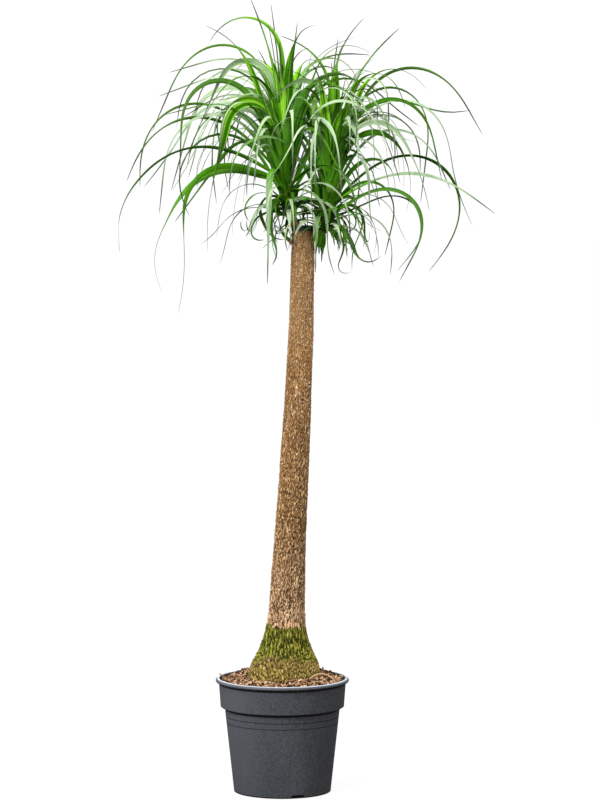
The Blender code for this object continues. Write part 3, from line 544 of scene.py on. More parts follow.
def dry_bark(shade, plate, flecks):
    """Tan plates: warm low on the trunk, browner and streaky above, pitted near the top, and painted paler
    on the +X side high up, a painted light."""
    x, z = shade.axis("X"), shade.axis("Z")
    wide = shade.noise(9.0, 3.0, 0.6)
    high = shade.mix(wide, (0.480, 0.250, 0.085), (0.640, 0.370, 0.150))
    high = shade.stain(high, (0.82, 0.81, 0.80), z, 0.95, 0.75)
    low = shade.mix(wide, (0.620, 0.370, 0.190), (0.860, 0.580, 0.340))
    tan = shade.fade(low, high, z, 0.36, 0.58)
    tan = shade.fade(tan, (0.950, 0.690, 0.390), plate, 0.50, 1.0, 0.7)
    tan = shade.fade(tan, (0.260, 0.125, 0.040), plate, 0.40, 0.0, 0.40)
    tan = shade.stain(tan, (0.66, 0.62, 0.58), shade.fibres(34.0, 34.0, 9.0, 3.0, 0.6), 0.66, 0.34)
    streaky = shade.band(z, 0.98, 0.78, 0.20, 0.75)
    tan = shade.fade(tan, (1.000, 0.800, 0.540), flecks, 0.57, 0.69, streaky)
    tan = shade.fade(tan, (0.150, 0.068, 0.022), flecks, 0.44, 0.31, streaky)
    tan = shade.stain(tan, (0.82, 0.84, 0.87), z, 0.88, 1.00)
    specks = shade.fibres(290.0, 290.0, 350.0, 2.0, 0.5)
    aloft = shade.band(z, 0.84, 1.00)
    tan = shade.stain(tan, (0.42, 0.37, 0.31), specks, 0.49, 0.37, shade.times(aloft, 0.75))
    tan = shade.fade(tan, (0.900, 0.700, 0.440), specks, 0.57, 0.68, shade.times(aloft, 0.45))
    # painted light: the bark on the +X side high up is painted paler
    slope = (trunk_axis_x(TRUNK_CUT_Z) - trunk_axis_x(PALE_FROM_Z)) / (TRUNK_CUT_Z - PALE_FROM_Z)
    start = trunk_axis_x(TRUNK_CUT_Z) - slope * TRUNK_CUT_Z
    aside = shade.math("SUBTRACT", x, shade.times(z, slope))
    painted_light_side = shade.band(aside, start + 0.1 * TRUNK_TOP_R, start + TRUNK_TOP_R)
    return shade.stain(tan, (1.50, 1.50, 1.56), z, PALE_FROM_Z, PALE_FROM_Z + 0.20, painted_light_side)


def mossy_bark(shade, plate, flecks, moss):
    """Green where the moss is thick, olive at its edge."""
    green = shade.fade((0.170, 0.175, 0.008), (0.330, 0.300, 0.034), plate, 0.2, 0.8)
    green = shade.fade(green, (0.030, 0.050, 0.002), flecks, 0.50, 0.38)
    green = shade.fade(green, (0.600, 0.560, 0.120), flecks, 0.56, 0.68)
    olive = shade.fade((0.200, 0.138, 0.026), (0.330, 0.238, 0.056), plate, 0.15, 0.8)
    olive = shade.fade(olive, (0.640, 0.480, 0.180), flecks, 0.55, 0.68)
    return shade.fade(olive, green, moss, 0.35, 0.75)


def bark_material():
    """Tan cork plates with dark cracks, moss on the foot and a tarry seal round the cut."""
    shade = Shade("bark", 0.88, 0.2)
    plate, crack, moss, seal = shade.attributes("plate", "crack", "moss", "seal")
    z = shade.axis("Z")
    fine = shade.fibres(430.0, 430.0, 150.0, 5.0, 0.62)
    flecks = shade.fibres(330.0, 330.0, 85.0, 2.0, 0.5)
    mossy = mossy_bark(shade, plate, flecks, moss)
    skin = shade.fade(dry_bark(shade, plate, flecks), mossy, moss, 0.02, 0.22)
    gap = shade.fade((0.090, 0.042, 0.015), (0.230, 0.125, 0.052), z, 0.80, 1.00)
    mossy_gap = shade.fade((0.040, 0.030, 0.007), (0.020, 0.022, 0.003), moss, 0.35, 0.75)
    gap = shade.fade(gap, mossy_gap, moss, 0.02, 0.22)
    colour = shade.fade(gap, skin, crack, 0.05, shade.band(moss, 0.05, 0.25, 0.60, 1.0))
    rough = shade.band(z, 0.98, 0.80, 0.35, 1.0)
    colour = shade.stain(colour, (0.42, 0.37, 0.32), fine, 0.46, 0.28, rough)
    colour = shade.stain(colour, (1.55, 1.55, 1.55), fine, 0.56, 0.74)
    tar = shade.fade((0.018, 0.017, 0.019), (0.075, 0.070, 0.074), shade.noise(160.0), 0.4, 0.75)
    colour = shade.mix(seal, colour, tar)
    roughness = shade.math("SUBTRACT", 0.90, shade.times(seal, 0.35))
    return shade.finish(colour, roughness, shade.bump(fine, 0.0012, 0.9))


def pot_material():
    """Matt anthracite moulding with a faint orange-peel grain, dusty light specks and painted light and shade.
    """
    shade = Shade("pot_plastic", 0.5, 0.35)
    x, z = shade.axis("X"), shade.axis("Z")
    cloud = shade.noise(14.0, 4.0, 0.6)
    mottle = shade.noise(220.0, 3.0, 0.6)
    base = shade.mix(cloud, (0.046, 0.051, 0.061), (0.060, 0.066, 0.078))
    # painted light: lighter on the -X side, towards the key light, and darker and warmer on the +X side
    base = shade.stain(base, (1.78, 1.75, 1.74), x, -0.02, -0.11)
    base = shade.stain(base, (0.90, 0.84, 0.78), x, 0.00, 0.07)
    base = shade.fade(base, (0.084, 0.090, 0.100), mottle, 0.40, 0.70, 0.7)
    base = shade.fade(base, (0.030, 0.031, 0.034), mottle, 0.46, 0.30, 0.5)
    upward = shade.axis("Z", shade.node("NewGeometry", out="Normal"))
    # painted highlight along the top of the rolled lip where its normal faces up, with painted shade below it
    lip_highlight = shade.fade((0.070, 0.086, 0.115), (0.600, 0.660, 0.745), upward, 0.87, 0.985)
    on_lip = shade.band(z, POT_HEIGHT - 0.0050, POT_HEIGHT - 0.0040)
    base = shade.fade(base, lip_highlight, upward, 0.60, 0.86, on_lip)
    speck, chance = (shade.node("TexVoronoi", {"Vector": shade.place(), "Scale": 110.0}, out=name)
                     for name in ("Distance", "Color"))
    rare = shade.band(shade.node("SeparateColor", {0: chance}), 0.90, 0.92, 0.0, 0.7)
    base = shade.fade(base, (0.420, 0.400, 0.360), speck, 0.11, 0.05, rare)
    base = shade.fade(base, (0.110, 0.115, 0.118), shade.fibres(70.0, 70.0, 5.0, 4.0, 0.6), 0.58, 0.8, 0.20)
    # painted shadow on the inside of the wall, just below the rim
    reach = shade.length(shade.stretched(1.0, 1.0, 0.0))
    inner_shadow_amount = shade.band(z, POT_HEIGHT - 0.0120, POT_HEIGHT - 0.0105, 0.0, 0.9)
    inner, outer = COLLAR_TOP_R - 0.0018, COLLAR_TOP_R - 0.0004
    base = shade.fade(base, (0.010, 0.010, 0.012), reach, outer, inner, inner_shadow_amount)
    # painted shade: dark bands under the collar, in the grooves, at the foot and under the lip
    for level, half in SHADE_LINES:
        off = shade.math("ABSOLUTE", shade.math("SUBTRACT", z, level))
        base = shade.stain(base, (0.24, 0.19, 0.17), off, half, 0.6 * half, 0.85)
    grain = shade.noise(700.0, 2.0, 0.6)
    return shade.finish(base, shade.band(cloud, 0.3, 0.7, 0.48, 0.60), shade.bump(grain, 0.00016, 0.8))


def mulch_material():
    """Bark chips in several reddish and tan browns, with a fibrous grain."""
    shade = Shade("bark_mulch", 0.9, 0.2)
    tone, light = shade.attributes("tone", "light")
    fibre = shade.fibres(700.0, 380.0, 500.0, 5.0, 0.7)
    brown = shade.fade((0.012, 0.006, 0.003), (0.200, 0.098, 0.046), tone, 0.08, 0.52)
    brown = shade.fade(brown, (0.480, 0.270, 0.140), tone, 0.35, 0.70)
    brown = shade.fade(brown, (0.860, 0.610, 0.370), tone, 0.68, 0.96)
    brown = shade.mix(light, brown, (0.620, 0.390, 0.210))
    brown = shade.stain(brown, (0.36, 0.33, 0.31), fibre, 0.58, 0.35)
    return shade.finish(brown, None, shade.bump(fibre, 0.0008, 0.8))


def humus_material():
    shade = Shade("humus", 0.95, 0.2)
    crumbs = shade.noise(320.0, 5.0, 0.7)
    colour = shade.fade((0.010, 0.006, 0.004), (0.070, 0.038, 0.022), crumbs, 0.35, 0.7)
    return shade.finish(colour, None, shade.bump(crumbs, 0.0022))


def stage_material():
    """A pale sweep that glows a little so that it stays white all round; no glow under the pot: a painted
    shadow.
    """
    shade = Shade("pale_sweep", 0.9, 0.1)
    shade.shader.inputs["Emission Color"].default_value = (1.0, 1.0, 1.0, 1.0)
    glow = shade.band(shade.axis("Z"), 0.0, 2.5, FLOOR_GLOW, WALL_GLOW)
    # painted contact shadow: the glow stops inside the pot's foot
    clear_of_contact_shadow = shade.band(shade.length(shade.place()), POT_FOOT_R - 0.0010, POT_FOOT_R + 0.0006)
    shade.put(shade.shader.inputs["Emission Strength"], shade.times(glow, clear_of_contact_shadow))
    return shade.finish((0.10, 0.10, 0.10))


# ---- pot ---------------------------------------------------------------------------------------------------
def body_radius(z):
    """Outer radius of the pot's body below the collar."""
    share = (z - POT_CORNER) / (COLLAR_FOOT_Z - POT_CORNER)
    return POT_FOOT_R + (BODY_TOP_R - POT_FOOT_R) * share


def arc(centre, middle, half_width, half_height, turns):
    """Points (radius, height) along an oval section, at turns in degrees."""
    turns = [math.radians(turn) for turn in turns]
    return [(centre + half_width * math.cos(turn), middle + half_height * math.sin(turn)) for turn in turns]


def groove(z):
    """A fine square-cut groove round the pot's body."""
    floor = body_radius(z) - CUT_DEPTH
    return [(body_radius(z - CUT_HALF), z - CUT_HALF), (floor, z - 0.6 * CUT_HALF),
            (floor, z + 0.6 * CUT_HALF), (body_radius(z + CUT_HALF), z + CUT_HALF)]


def pot_profile():
    """The pot's wall as (radius, height), from the middle of its bottom up the outside, then down inside."""
    lip_foot = POT_HEIGHT - LIP_DROP
    lip_half = 0.5 * LIP_DROP
    lip_out = POT_LIP_R - COLLAR_TOP_R
    return [
        (0.0, 0.0),
        (POT_FOOT_R - POT_CORNER, 0.0),
        *arc(POT_FOOT_R - POT_CORNER, POT_CORNER, POT_CORNER, POT_CORNER, (-60, -30, 0)),
        *groove(GROOVES_Z[0]),
        *groove(GROOVES_Z[1]),
        (BODY_TOP_R, COLLAR_FOOT_Z + 0.0016),
        (COLLAR_FOOT_R - 0.0016, COLLAR_EDGE_Z - 0.0036),
        (COLLAR_FOOT_R - 0.0002, COLLAR_EDGE_Z - 0.0026),
        (COLLAR_FOOT_R, COLLAR_EDGE_Z - 0.0010),
        (COLLAR_TOP_R, lip_foot - 0.0014),
        (COLLAR_TOP_R - SEAM, lip_foot),
        (COLLAR_TOP_R, lip_foot + 0.0003),
        *arc(COLLAR_TOP_R, lip_foot + lip_half, lip_out, lip_half, (-60, -30, 0, 30, 60, 90)),
        (COLLAR_TOP_R - POT_WALL, POT_HEIGHT - 0.8 * POT_WALL),
        (COLLAR_FOOT_R - POT_WALL, COLLAR_EDGE_Z + LEDGE_RISE),
        (BODY_TOP_R - POT_WALL, COLLAR_FOOT_Z + LEDGE_RISE),
        (body_radius(POT_FLOOR) - POT_WALL, POT_FLOOR),
        (0.0, POT_FLOOR),
    ]


def turned(rings, sides):
    """Points and faces of a body turned about upright axes, from a point on the axis at the bottom to one at
    the top or inside. rings holds (radius, height as a function of an array of angles, centre)."""
    angles = 2.0 * math.pi * np.arange(sides) / sides
    points = []
    for radius, height, centre in rings[1:-1]:
        level = np.broadcast_to(height(angles), angles.shape)
        points.append(np.stack([centre + radius * np.cos(angles), radius * np.sin(angles), level], axis=1))
    faces = strips(len(points), sides)
    bottom = len(points) * sides
    last = bottom - sides
    for radius, height, centre in (rings[0], rings[-1]):
        points.append(np.array([[centre, 0.0, float(np.mean(height(angles)))]]))
    for side in range(sides):
        after = (side + 1) % sides
        faces.append((bottom, after, side))
        faces.append((bottom + 1, last + side, last + after))
    return np.concatenate(points), faces


def flat(z):
    return lambda angles: z


def make_cutter(turn):
    """A block that cuts one drain notch into the foot of the pot."""
    bpy.ops.mesh.primitive_cube_add(size=1.0)
    cutter = bpy.context.object
    reach = NOTCH_REACH + 0.02
    middle = POT_FOOT_R - NOTCH_REACH + 0.5 * reach
    cutter.scale = (reach, NOTCH_WIDTH, 2.0 * NOTCH_HEIGHT)
    cutter.location = (middle * math.cos(turn), middle * math.sin(turn), 0.0)
    cutter.rotation_euler = (0.0, 0.0, turn)
    return cutter


def make_pot():
    parts = Pieces()
    parts.add(*turned([(radius, flat(z), 0.0) for radius, z in pot_profile()], POT_SIDES))
    pot = parts.build("nursery_pot", pot_material())
    cutters = [make_cutter(math.radians(NOTCH_FIRST + 360.0 / NOTCH_COUNT * count))
               for count in range(NOTCH_COUNT)]
    for cutter in cutters:
        cut = pot.modifiers.new("notch", "BOOLEAN")
        cut.operation = "DIFFERENCE"
        cut.object = cutter
    apply_modifiers(pot)
    for cutter in cutters:
        bpy.data.objects.remove(cutter, do_unlink=True)
    soften(pot.data, 34)
    return dress(pot, "pot_plastic", "pot")


def apply_modifiers(target):
    graph = bpy.context.evaluated_depsgraph_get()
    graph.update()
    baked = bpy.data.meshes.new_from_object(target.evaluated_get(graph), depsgraph=graph)
    target.modifiers.clear()
    target.data = baked


# ---- trunk -------------------------------------------------------------------------------------------------
def trunk_axis_x(z):
    """Where the trunk's axis runs: upright in the soil, then leaning towards +X."""
    share = (z - SOIL_LINE_Z) / (TRUNK_CUT_Z - SOIL_LINE_Z)
    return TRUNK_BASE.x + TRUNK_LEAN * ease(share) ** 0.8


def trunk_radius(z):
    """Mean radius of the trunk: a slow taper, a swollen foot and a long toe above it."""
    z = max(z, SOIL_LINE_Z)
    swell = SWELL * math.exp(-(((z - FLARE_Z) / SWELL_REACH) ** 2))
    toe = TOE * math.exp((FLARE_Z - z) / TOE_REACH)
    return TRUNK_TOP_R + TRUNK_TAPER * (TRUNK_CUT_Z - z) + swell + toe


def trunk_relief(z, angle):
    """Corky blisters that run up the bark, fading out into the plain foot and the sawn edge."""
    fade = ease((z - SOIL_LINE_Z) / 0.04) * ease((TRUNK_CUT_Z - z) / 0.02)
    where = Vector((2.1 * math.cos(angle), 2.1 * math.sin(angle), 9.0 * z))
    ribs = 0.5 + 0.5 * math.sin(RIB_COUNT * angle + 9.0 * noise.noise(Vector((0.0, 0.0, 3.0 * z))))
    return fade * trunk_radius(z) * (BLISTERS * noise.noise(where) + RIBS * ribs)


def ring_heights():
    """Heights of the bark's rings: a few in the soil, then close ones up to the cut."""
    buried = [TRUNK_BASE.z, TRUNK_BASE.z + 0.012, 0.200]
    low = np.linspace(FINE_FROM_Z, SPLIT_Z, round((SPLIT_Z - FINE_FROM_Z) / BARK_STEP) + 1)
    top = TRUNK_CUT_Z - 0.0010
    high = np.linspace(SPLIT_Z, top, round((top - SPLIT_Z) / BARK_STEP) + 1)[1:]
    return np.concatenate([buried, low]), high


def bark_plates(z, angle, wander, quiver):
    """The relief of the layers of plates at each point, how far the cracks close there and how pale the plate
    is."""
    depth, crack, plate = np.zeros(len(z)), np.ones(len(z)), np.full(len(z), 0.5)
    weight = np.zeros(len(z))
    levels = np.linspace(z[0], TRUNK_CUT_Z, 1200)
    for layer in BARK_LAYERS:
        tall = np.interp(levels, layer.heights, layer.tall)
        climbed = np.concatenate([[0.0], np.cumsum(np.diff(levels) / tall[1:])])
        across = angle / (2.0 * math.pi) * layer.columns
        across += layer.wander * (0.55 * wander[:, 0] + 0.35 * quiver[:, 0])
        up = np.interp(z, levels, climbed) + layer.wander * (0.60 * wander[:, 2] + 0.35 * quiver[:, 2])
        up += 1.5 * smooth(0.300, 0.250, z) * np.sin(3.0 * angle + 1.0)
        across += 60.0 * smooth(0.290, 0.250, z) * (0.290 - z) * np.sin(2.0 * angle + 2.0)
        edge, cell = jittered_cells(across, up, layer.columns, layer.jitter, layer.seed)
        open_crack = smooth(0.03, 0.34, edge)
        deep = np.interp(z, layer.heights, layer.depth)
        depth += deep * (open_crack * (0.70 + 0.55 * cell) - 0.85)
        share = deep / (deep.max() + 1e-9)
        crack = np.minimum(crack, 1.0 - share * (1.0 - open_crack))
        plate += share * (cell - 0.5)
        weight += share
    return depth, crack, 0.5 + (plate - 0.5) / np.maximum(weight, 1.0) * 1.5


def round_from(angle, degrees):
    """Angles counted from a direction, from -180 to 180 degrees."""
    return np.mod(np.degrees(angle) - degrees + 180.0, 360.0) - 180.0


def moss_cover(z, angle, wander, quiver):
    """How thick the moss is: thin up to its ragged top edge, full below a line that dips at the sides."""
    top = MOSS_TOP_Z + 0.0060 * wander[:, 1] + 0.0050 * quiver[:, 2]
    dip = 0.024 * np.exp(-((round_from(angle, MOSS_FRONT) / 50.0) ** 2))
    foot = MOSS_FOOT_Z - 0.012 + dip + 0.0120 * wander[:, 2] + 0.0080 * quiver[:, 0]
    return smooth(-0.0030, 0.0050, top - z) * (0.25 + 0.75 * smooth(-0.012, 0.020, z - foot))


def bark_points(heights, sides):
    """Points of the bark on rings at these heights, with the attributes of its material."""
    z = np.repeat(heights, sides)
    angle = np.tile(2.0 * math.pi * np.arange(sides) / sides, len(heights))
    radius = np.repeat([trunk_radius(level) for level in heights], sides)
    axis = np.repeat([trunk_axis_x(level) for level in heights], sides)
    big = np.array([trunk_relief(level, turn) for level, turn in zip(z, angle)])
    places = [Vector((reach * math.cos(turn), reach * math.sin(turn), level))
              for reach, turn, level in zip(radius, angle, z)]
    wander = np.array([noise.noise_vector(WANDER_GRAIN * place) for place in places])
    quiver = np.array([noise.noise_vector(QUIVER_GRAIN * place) for place in places])
    depth, crack, plate = bark_plates(z, angle, wander, quiver)
    for where, level, reach, half in CRACKS:
        wave = level + SCAR_WAVER * wander[:, 1]
        inside = smooth(1.0, 0.0, np.abs(round_from(angle, where)) / reach)
        mark = inside * smooth(1.0, 0.0, np.abs(z - wave) / half)
        ridge = inside * smooth(1.0, 0.0, np.abs(z - wave - 2.2 * half) / (2.0 * half))
        depth += SCAR_RIDGE * ridge - SCAR_DEPTH * mark
        crack = crack * (1.0 - mark)
    for where, level, reach, rise in KNOBS:
        far = np.hypot(round_from(angle, where) / 57.3 * radius, z - level) / reach
        depth += rise * smooth(1.0, 0.2, far) - 0.5 * rise * smooth(0.35, 0.1, far)
        plate = plate - 0.5 * smooth(1.1, 0.4, far)
    fade = smooth(0.222, 0.236, z) * smooth(TRUNK_CUT_Z, TRUNK_CUT_Z - 0.006, z)
    seal = smooth(-0.0007, 0.0007, z - SEAL_Z - SEAL_WAVER * wander[:, 0])
    tar = seal * (SEAL_THICKNESS + SEAL_LUMPS * quiver[:, 1])
    out = big + fade * depth * (1.0 - 0.7 * seal) + tar
    points = np.stack([axis + (radius + out) * np.cos(angle), (radius + out) * np.sin(angle), z], axis=1)
    moss = moss_cover(z, angle, wander, quiver)
    return points, {"crack": crack, "plate": plate, "moss": moss, "seal": seal}


def make_trunk():
    noise.seed_set(BARK_SEED)
    low, high = ring_heights()
    low_points, low_looks = bark_points(low, SIDES_BELOW)
    high_points, high_looks = bark_points(high, SIDES_ABOVE)
    centre = np.array([trunk_axis_x(TRUNK_CUT_Z), 0.0, TRUNK_CUT_Z])
    last = high_points[-SIDES_ABOVE:]
    flat_ring = centre + (last - centre) * (CUT_EDGE, CUT_EDGE, 0.0)
    bowl = centre + (last - centre) * (BOWL_EDGE, BOWL_EDGE, 0.0) - (0.0, 0.0, BOWL_DEEP)
    ends = np.array([[TRUNK_BASE.x, 0.0, low[0]], centre - (0.0, 0.0, HEART_DEEP)])
    looks = {}
    for name, sealed in (("crack", 0.6), ("plate", 0.5), ("moss", 0.0), ("seal", 1.0)):
        on_cut = np.full(2 * SIDES_ABOVE + 2, sealed)
        looks[name] = np.concatenate([low_looks[name], high_looks[name], on_cut])
    points = np.concatenate([low_points, high_points, flat_ring, bowl, ends])
    parts = Pieces()
    parts.add(points, bark_faces(len(low), len(high)), looks)
    for head in HEADS:
        add_stub(parts, head)
    return dress(parts.build("bark_trunk", bark_material(), smooth_angle=70), "corky_bark", "trunk")


def bark_faces(low_rings, high_rings):
    """Faces of the bark: fine rings below, coarser ones and the cut above, their seam, and both ends."""
    first_high = low_rings * SIDES_BELOW
    faces = strips(low_rings, SIDES_BELOW) + strips(high_rings + 2, SIDES_ABOVE, first_high)
    seam = first_high - SIDES_BELOW
    for side in range(SIDES_ABOVE):
        after = (side + 1) % SIDES_ABOVE
        faces.append((seam + 2 * side, seam + 2 * side + 1, first_high + side))
        faces.append((seam + 2 * side + 1, seam + 2 * after, first_high + after, first_high + side))
    end = first_high + (high_rings + 2) * SIDES_ABOVE
    top = end - SIDES_ABOVE
    faces += [(end, (side + 1) % SIDES_BELOW, side) for side in range(SIDES_BELOW)]
    return faces + [(end + 1, top + side, top + (side + 1) % SIDES_ABOVE) for side in range(SIDES_ABOVE)]


def add_stub(parts, head):
    """The branch collar under a head's stem: rough bark with rings of old leaf scars."""
    foot = Vector(head.stem[0])
    way = (Vector(head.stem[1]) - foot).normalized()
    inward = Vector((trunk_axis_x(foot.z) - foot.x, -foot.y, 0.0)).normalized()
    start = foot - STUB_OUT * way + STUB_IN * inward - Vector((0.0, 0.0, STUB_DROP))
    radius = head.radii[0] * STUB_GROWTH
    around = spokes(way, TO_BACK, STUB_SIDES)
    points, cracks, plates = [], [], []
    for step in range(STUB_STEPS + 1):
        share = step / STUB_STEPS
        if share < 0.7:
            place = start.lerp(foot - STUB_NECK * way, share / 0.7)
        else:
            place = foot - way * (STUB_NECK + (GAP - STUB_NECK) * (share - 0.7) / 0.3)
        ring = abs(math.sin(0.42 * step))
        for outward in around:
            near, _ = noise.voronoi(210.0 * (place + radius * outward))
            crack = ease((near[1] - near[0]) / 0.30) * ease(ring / 0.35)
            lump = 0.07 * noise.noise(120.0 * (place + radius * outward))
            size = radius * (1.06 - 0.10 * share + lump + 0.06 * crack + 0.04 * ring)
            points.append(place + size * outward)
            cracks.append(crack)
            plates.append(0.32 + 0.35 * noise.noise(90.0 * place + 2.0 * outward))
    looks = {"crack": cracks, "plate": plates, "moss": 0.0, "seal": 0.0}
    parts.add(points, rod(STUB_STEPS + 1, STUB_SIDES), looks)


# ---- soil --------------------------------------------------------------------------------------------------
def soil_height(x, y):
    """Height of the mulch's own surface at a place between the wall and the trunk."""
    radius = math.hypot(x, y)
    hole = trunk_radius(SOIL_LINE_Z)
    share = min(1.0, max(0.0, (COLLAR_TOP_R - radius) / (COLLAR_TOP_R - hole)))
    lumps = SOIL_RELIEF * noise.noise(SOIL_GRAIN * Vector((x, y, 0.0)))
    heap = HEAP * (1.0 - 0.55 * share) - SETTLED * low_side(x) + FRONT_HEAP * front_heap(x, y)
    heap += BACK_HEAP * ease((y - 0.05) / 0.05)
    return SOIL_EDGE_Z - 0.0030 + SOIL_MOUND * ease(share) + (1.0 - 0.6 * share) * lumps + heap


def low_side(x):
    """The mulch has settled a little along the wall on the -X side."""
    return ease((-x - 0.085) / 0.04)


def front_heap(x, y):
    """More mulch lies against the trunk on its front right."""
    return ease(1.0 - math.hypot(x - 0.048, y + 0.062) / 0.052)


def crumbly(radius, centre):
    """Heights of the soil's surface along a ring."""
    def height(angles):
        levels = []
        for angle in angles:
            level = soil_height(centre + radius * math.cos(angle), radius * math.sin(angle))
            scaled = CRUMB_GRAIN * radius
            grain = noise.noise(Vector((scaled * math.cos(angle), scaled * math.sin(angle), 3.0)))
            levels.append(level + SOIL_CRUMB * grain)
        return np.array(levels)

    return height


def make_soil():
    low, high = COLLAR_FOOT_Z + LEDGE_RISE + GAP, COLLAR_EDGE_Z + LEDGE_RISE + GAP
    floor = NOTCH_HEIGHT + 0.001
    wall = COLLAR_TOP_R - POT_WALL - 0.0022
    hole = trunk_radius(SOIL_LINE_Z) - 0.0030
    rings = [(0.0, flat(floor), 0.0), (body_radius(floor) - POT_WALL - GAP, flat(floor), 0.0),
             (BODY_TOP_R - POT_WALL - GAP, flat(low), 0.0), (COLLAR_FOOT_R - POT_WALL - GAP, flat(high), 0.0)]
    for step in range(SOIL_STEPS + 1):
        share = step / SOIL_STEPS
        radius, centre = wall + (hole - wall) * share, TRUNK_BASE.x * share
        rings.append((radius, crumbly(radius, centre), centre))
    rings += [(radius, flat(TRUNK_BASE.z - GAP), TRUNK_BASE.x) for radius in (hole, 0.0)]
    parts = Pieces()
    parts.add(*turned(rings, POT_SIDES))
    return dress(parts.build("humus", humus_material(), smooth_angle=60), "bark_mulch", "soil")


def make_chips():
    """Loose bark chips of many sizes, heaped two or three deep, with surface roots and a twig among them."""
    draw = random.Random(CHIP_SEED)
    parts = Pieces()
    inner = trunk_radius(SOIL_LINE_Z) + 0.0005
    wall = COLLAR_TOP_R - POT_WALL
    outer = wall - 0.0050
    for count in range(CHIPS):
        angle = draw.uniform(0.0, 2.0 * math.pi)
        radius = math.sqrt(draw.uniform(inner ** 2, outer ** 2))
        x, y = radius * math.cos(angle), radius * math.sin(angle)
        big = draw.random() ** 2.2
        length = CHIP_LENGTH + CHIP_LONGER * big
        width = CHIP_WIDTH + CHIP_WIDER * big * draw.uniform(0.5, 1.0)
        if math.hypot(x, y) + 0.45 * length > wall - 0.0012:
            length *= 0.6
        thick = draw.uniform(*CHIP_THICKNESS)
        z = soil_height(x, y) + draw.uniform(-0.0018, 0.0034) - 0.0012 * big
        add_chip(parts, draw, Vector((x, y, z)), length, width, thick)
    for route, radius, light in ROOTS:
        add_root(parts, route, radius, light)
    return dress(parts.build("bark_chips", mulch_material(), smooth_angle=28), "bark_mulch")


def add_chip(parts, draw, place, length, width, thick):
    turn = draw.uniform(0.0, 2.0 * math.pi)
    pitch, roll = draw.gauss(0.0, 0.38), draw.gauss(0.0, 0.45)
    way = Vector((math.cos(turn) * math.cos(pitch), math.sin(turn) * math.cos(pitch), math.sin(pitch)))
    side = way.cross(UP).normalized()
    up = side.cross(way)
    side, up = math.cos(roll) * side + math.sin(roll) * up, math.cos(roll) * up - math.sin(roll) * side
    arch = draw.uniform(0.0, 0.25) * width
    points = []
    for layer in (-0.5, 0.5):
        for corner in range(CHIP_CORNERS):
            angle = 2.0 * math.pi * (corner + draw.uniform(-0.3, 0.3)) / CHIP_CORNERS
            reach = draw.uniform(0.78, 1.05) - 0.10 * (layer > 0)
            along, across = 0.5 * length * reach * math.cos(angle), 0.5 * width * reach * math.sin(angle)
            bend = arch * (1.0 - (2.0 * along / length) ** 2)
            points.append(place + along * way + across * side + (layer * thick + bend) * up)
    parts.add(points, rod(2, CHIP_CORNERS), {"tone": draw.random(), "light": 0.0})


def add_root(parts, route, radius, light):
    places = smooth_route(route, 8 * (len(route) - 1))
    points = []
    for step, place in enumerate(places):
        thick = radius * (1.0 + 0.22 * noise.noise(260.0 * place))
        points += [place + thick * outward for outward in spokes(way_along(places, step), UP, ROOT_SIDES)]
    parts.add(points, rod(len(places), ROOT_SIDES), {"tone": 0.6, "light": light})


def smooth_route(route, steps):
    """Points of a Catmull-Rom curve through the route."""
    knots = [Vector(place) for place in route]
    knots = [2.0 * knots[0] - knots[1]] + knots + [2.0 * knots[-1] - knots[-2]]
    places = []
    for step in range(steps + 1):
        along = step / steps * (len(knots) - 3)
        start = min(int(along), len(knots) - 4)
        t = along - start
        a, b, c, d = knots[start:start + 4]
        places.append(0.5 * (2.0 * b + (c - a) * t + (2.0 * a - 5.0 * b + 4.0 * c - d) * t * t
                             + (3.0 * b - a - 3.0 * c + d) * t ** 3))
    return places


# ---- leaves ------------------------------------------------------------------------------------------------
def between(values, along):
    """The two neighbours in a row that a place along it lies between, and how far it is from the first."""
    start = min(int(along), len(values) - 2)
    return values[start], values[start + 1], along - start


def stem_point(stem, share):
    """The place at a share of the stem's length, counted along its points."""
    first, second, part = between(stem, share * (len(stem) - 1))
    return Vector(first).lerp(Vector(second), part)


def stem_radius(head, share):
    first, second, part = between(head.radii, share * (len(head.radii) - 1))
    return first + (second - first) * part


def leaf_path(head, leaf):
    """Centreline of a leaf as (point, side way, normal) at each step, root first."""
    turn = math.radians(leaf.azimuth)
    outward = Vector((math.cos(turn), math.sin(turn), 0.0))
    start = stem_point(head.stem, leaf.height) + ROOT_DEPTH * stem_radius(head, leaf.height) * outward
    step = leaf.length / PATH_STEPS
    rows = []
    for count in range(PATH_STEPS + 1):
        share = count / PATH_STEPS
        bend = ease((share - leaf.bend_from) / (leaf.bend_to - leaf.bend_from))
        tip = leaf.curl * ease((share - CURL_FROM) / (1.0 - CURL_FROM))
        rise = math.radians(leaf.lift + (leaf.end - leaf.lift) * bend + tip)
        turn = math.radians(leaf.azimuth + leaf.sway * share * share)
        ahead = Vector((math.cos(turn), math.sin(turn) + leaf.fan, 0.0))
        way = math.cos(rise) * ahead + Vector((0.0, 0.0, math.sin(rise)))
        side = Vector((-ahead.y, ahead.x, 0.0)).normalized()
        normal = way.cross(side).normalized()
        late_roll = (1.0 - EARLY_ROLL) * ease((share - 0.25) / 0.6)
        roll = math.radians(leaf.twist) * (EARLY_ROLL * ease(share / 0.15) + late_roll)
        rolled = math.cos(roll) * side + math.sin(roll) * normal
        rows.append((start.copy(), rolled, way.cross(rolled).normalized()))
        start += way * step
    return rows


def facing(azimuth):
    """How much a leaf points to the front or the back, 0 to 1."""
    return abs(math.sin(math.radians(azimuth)))


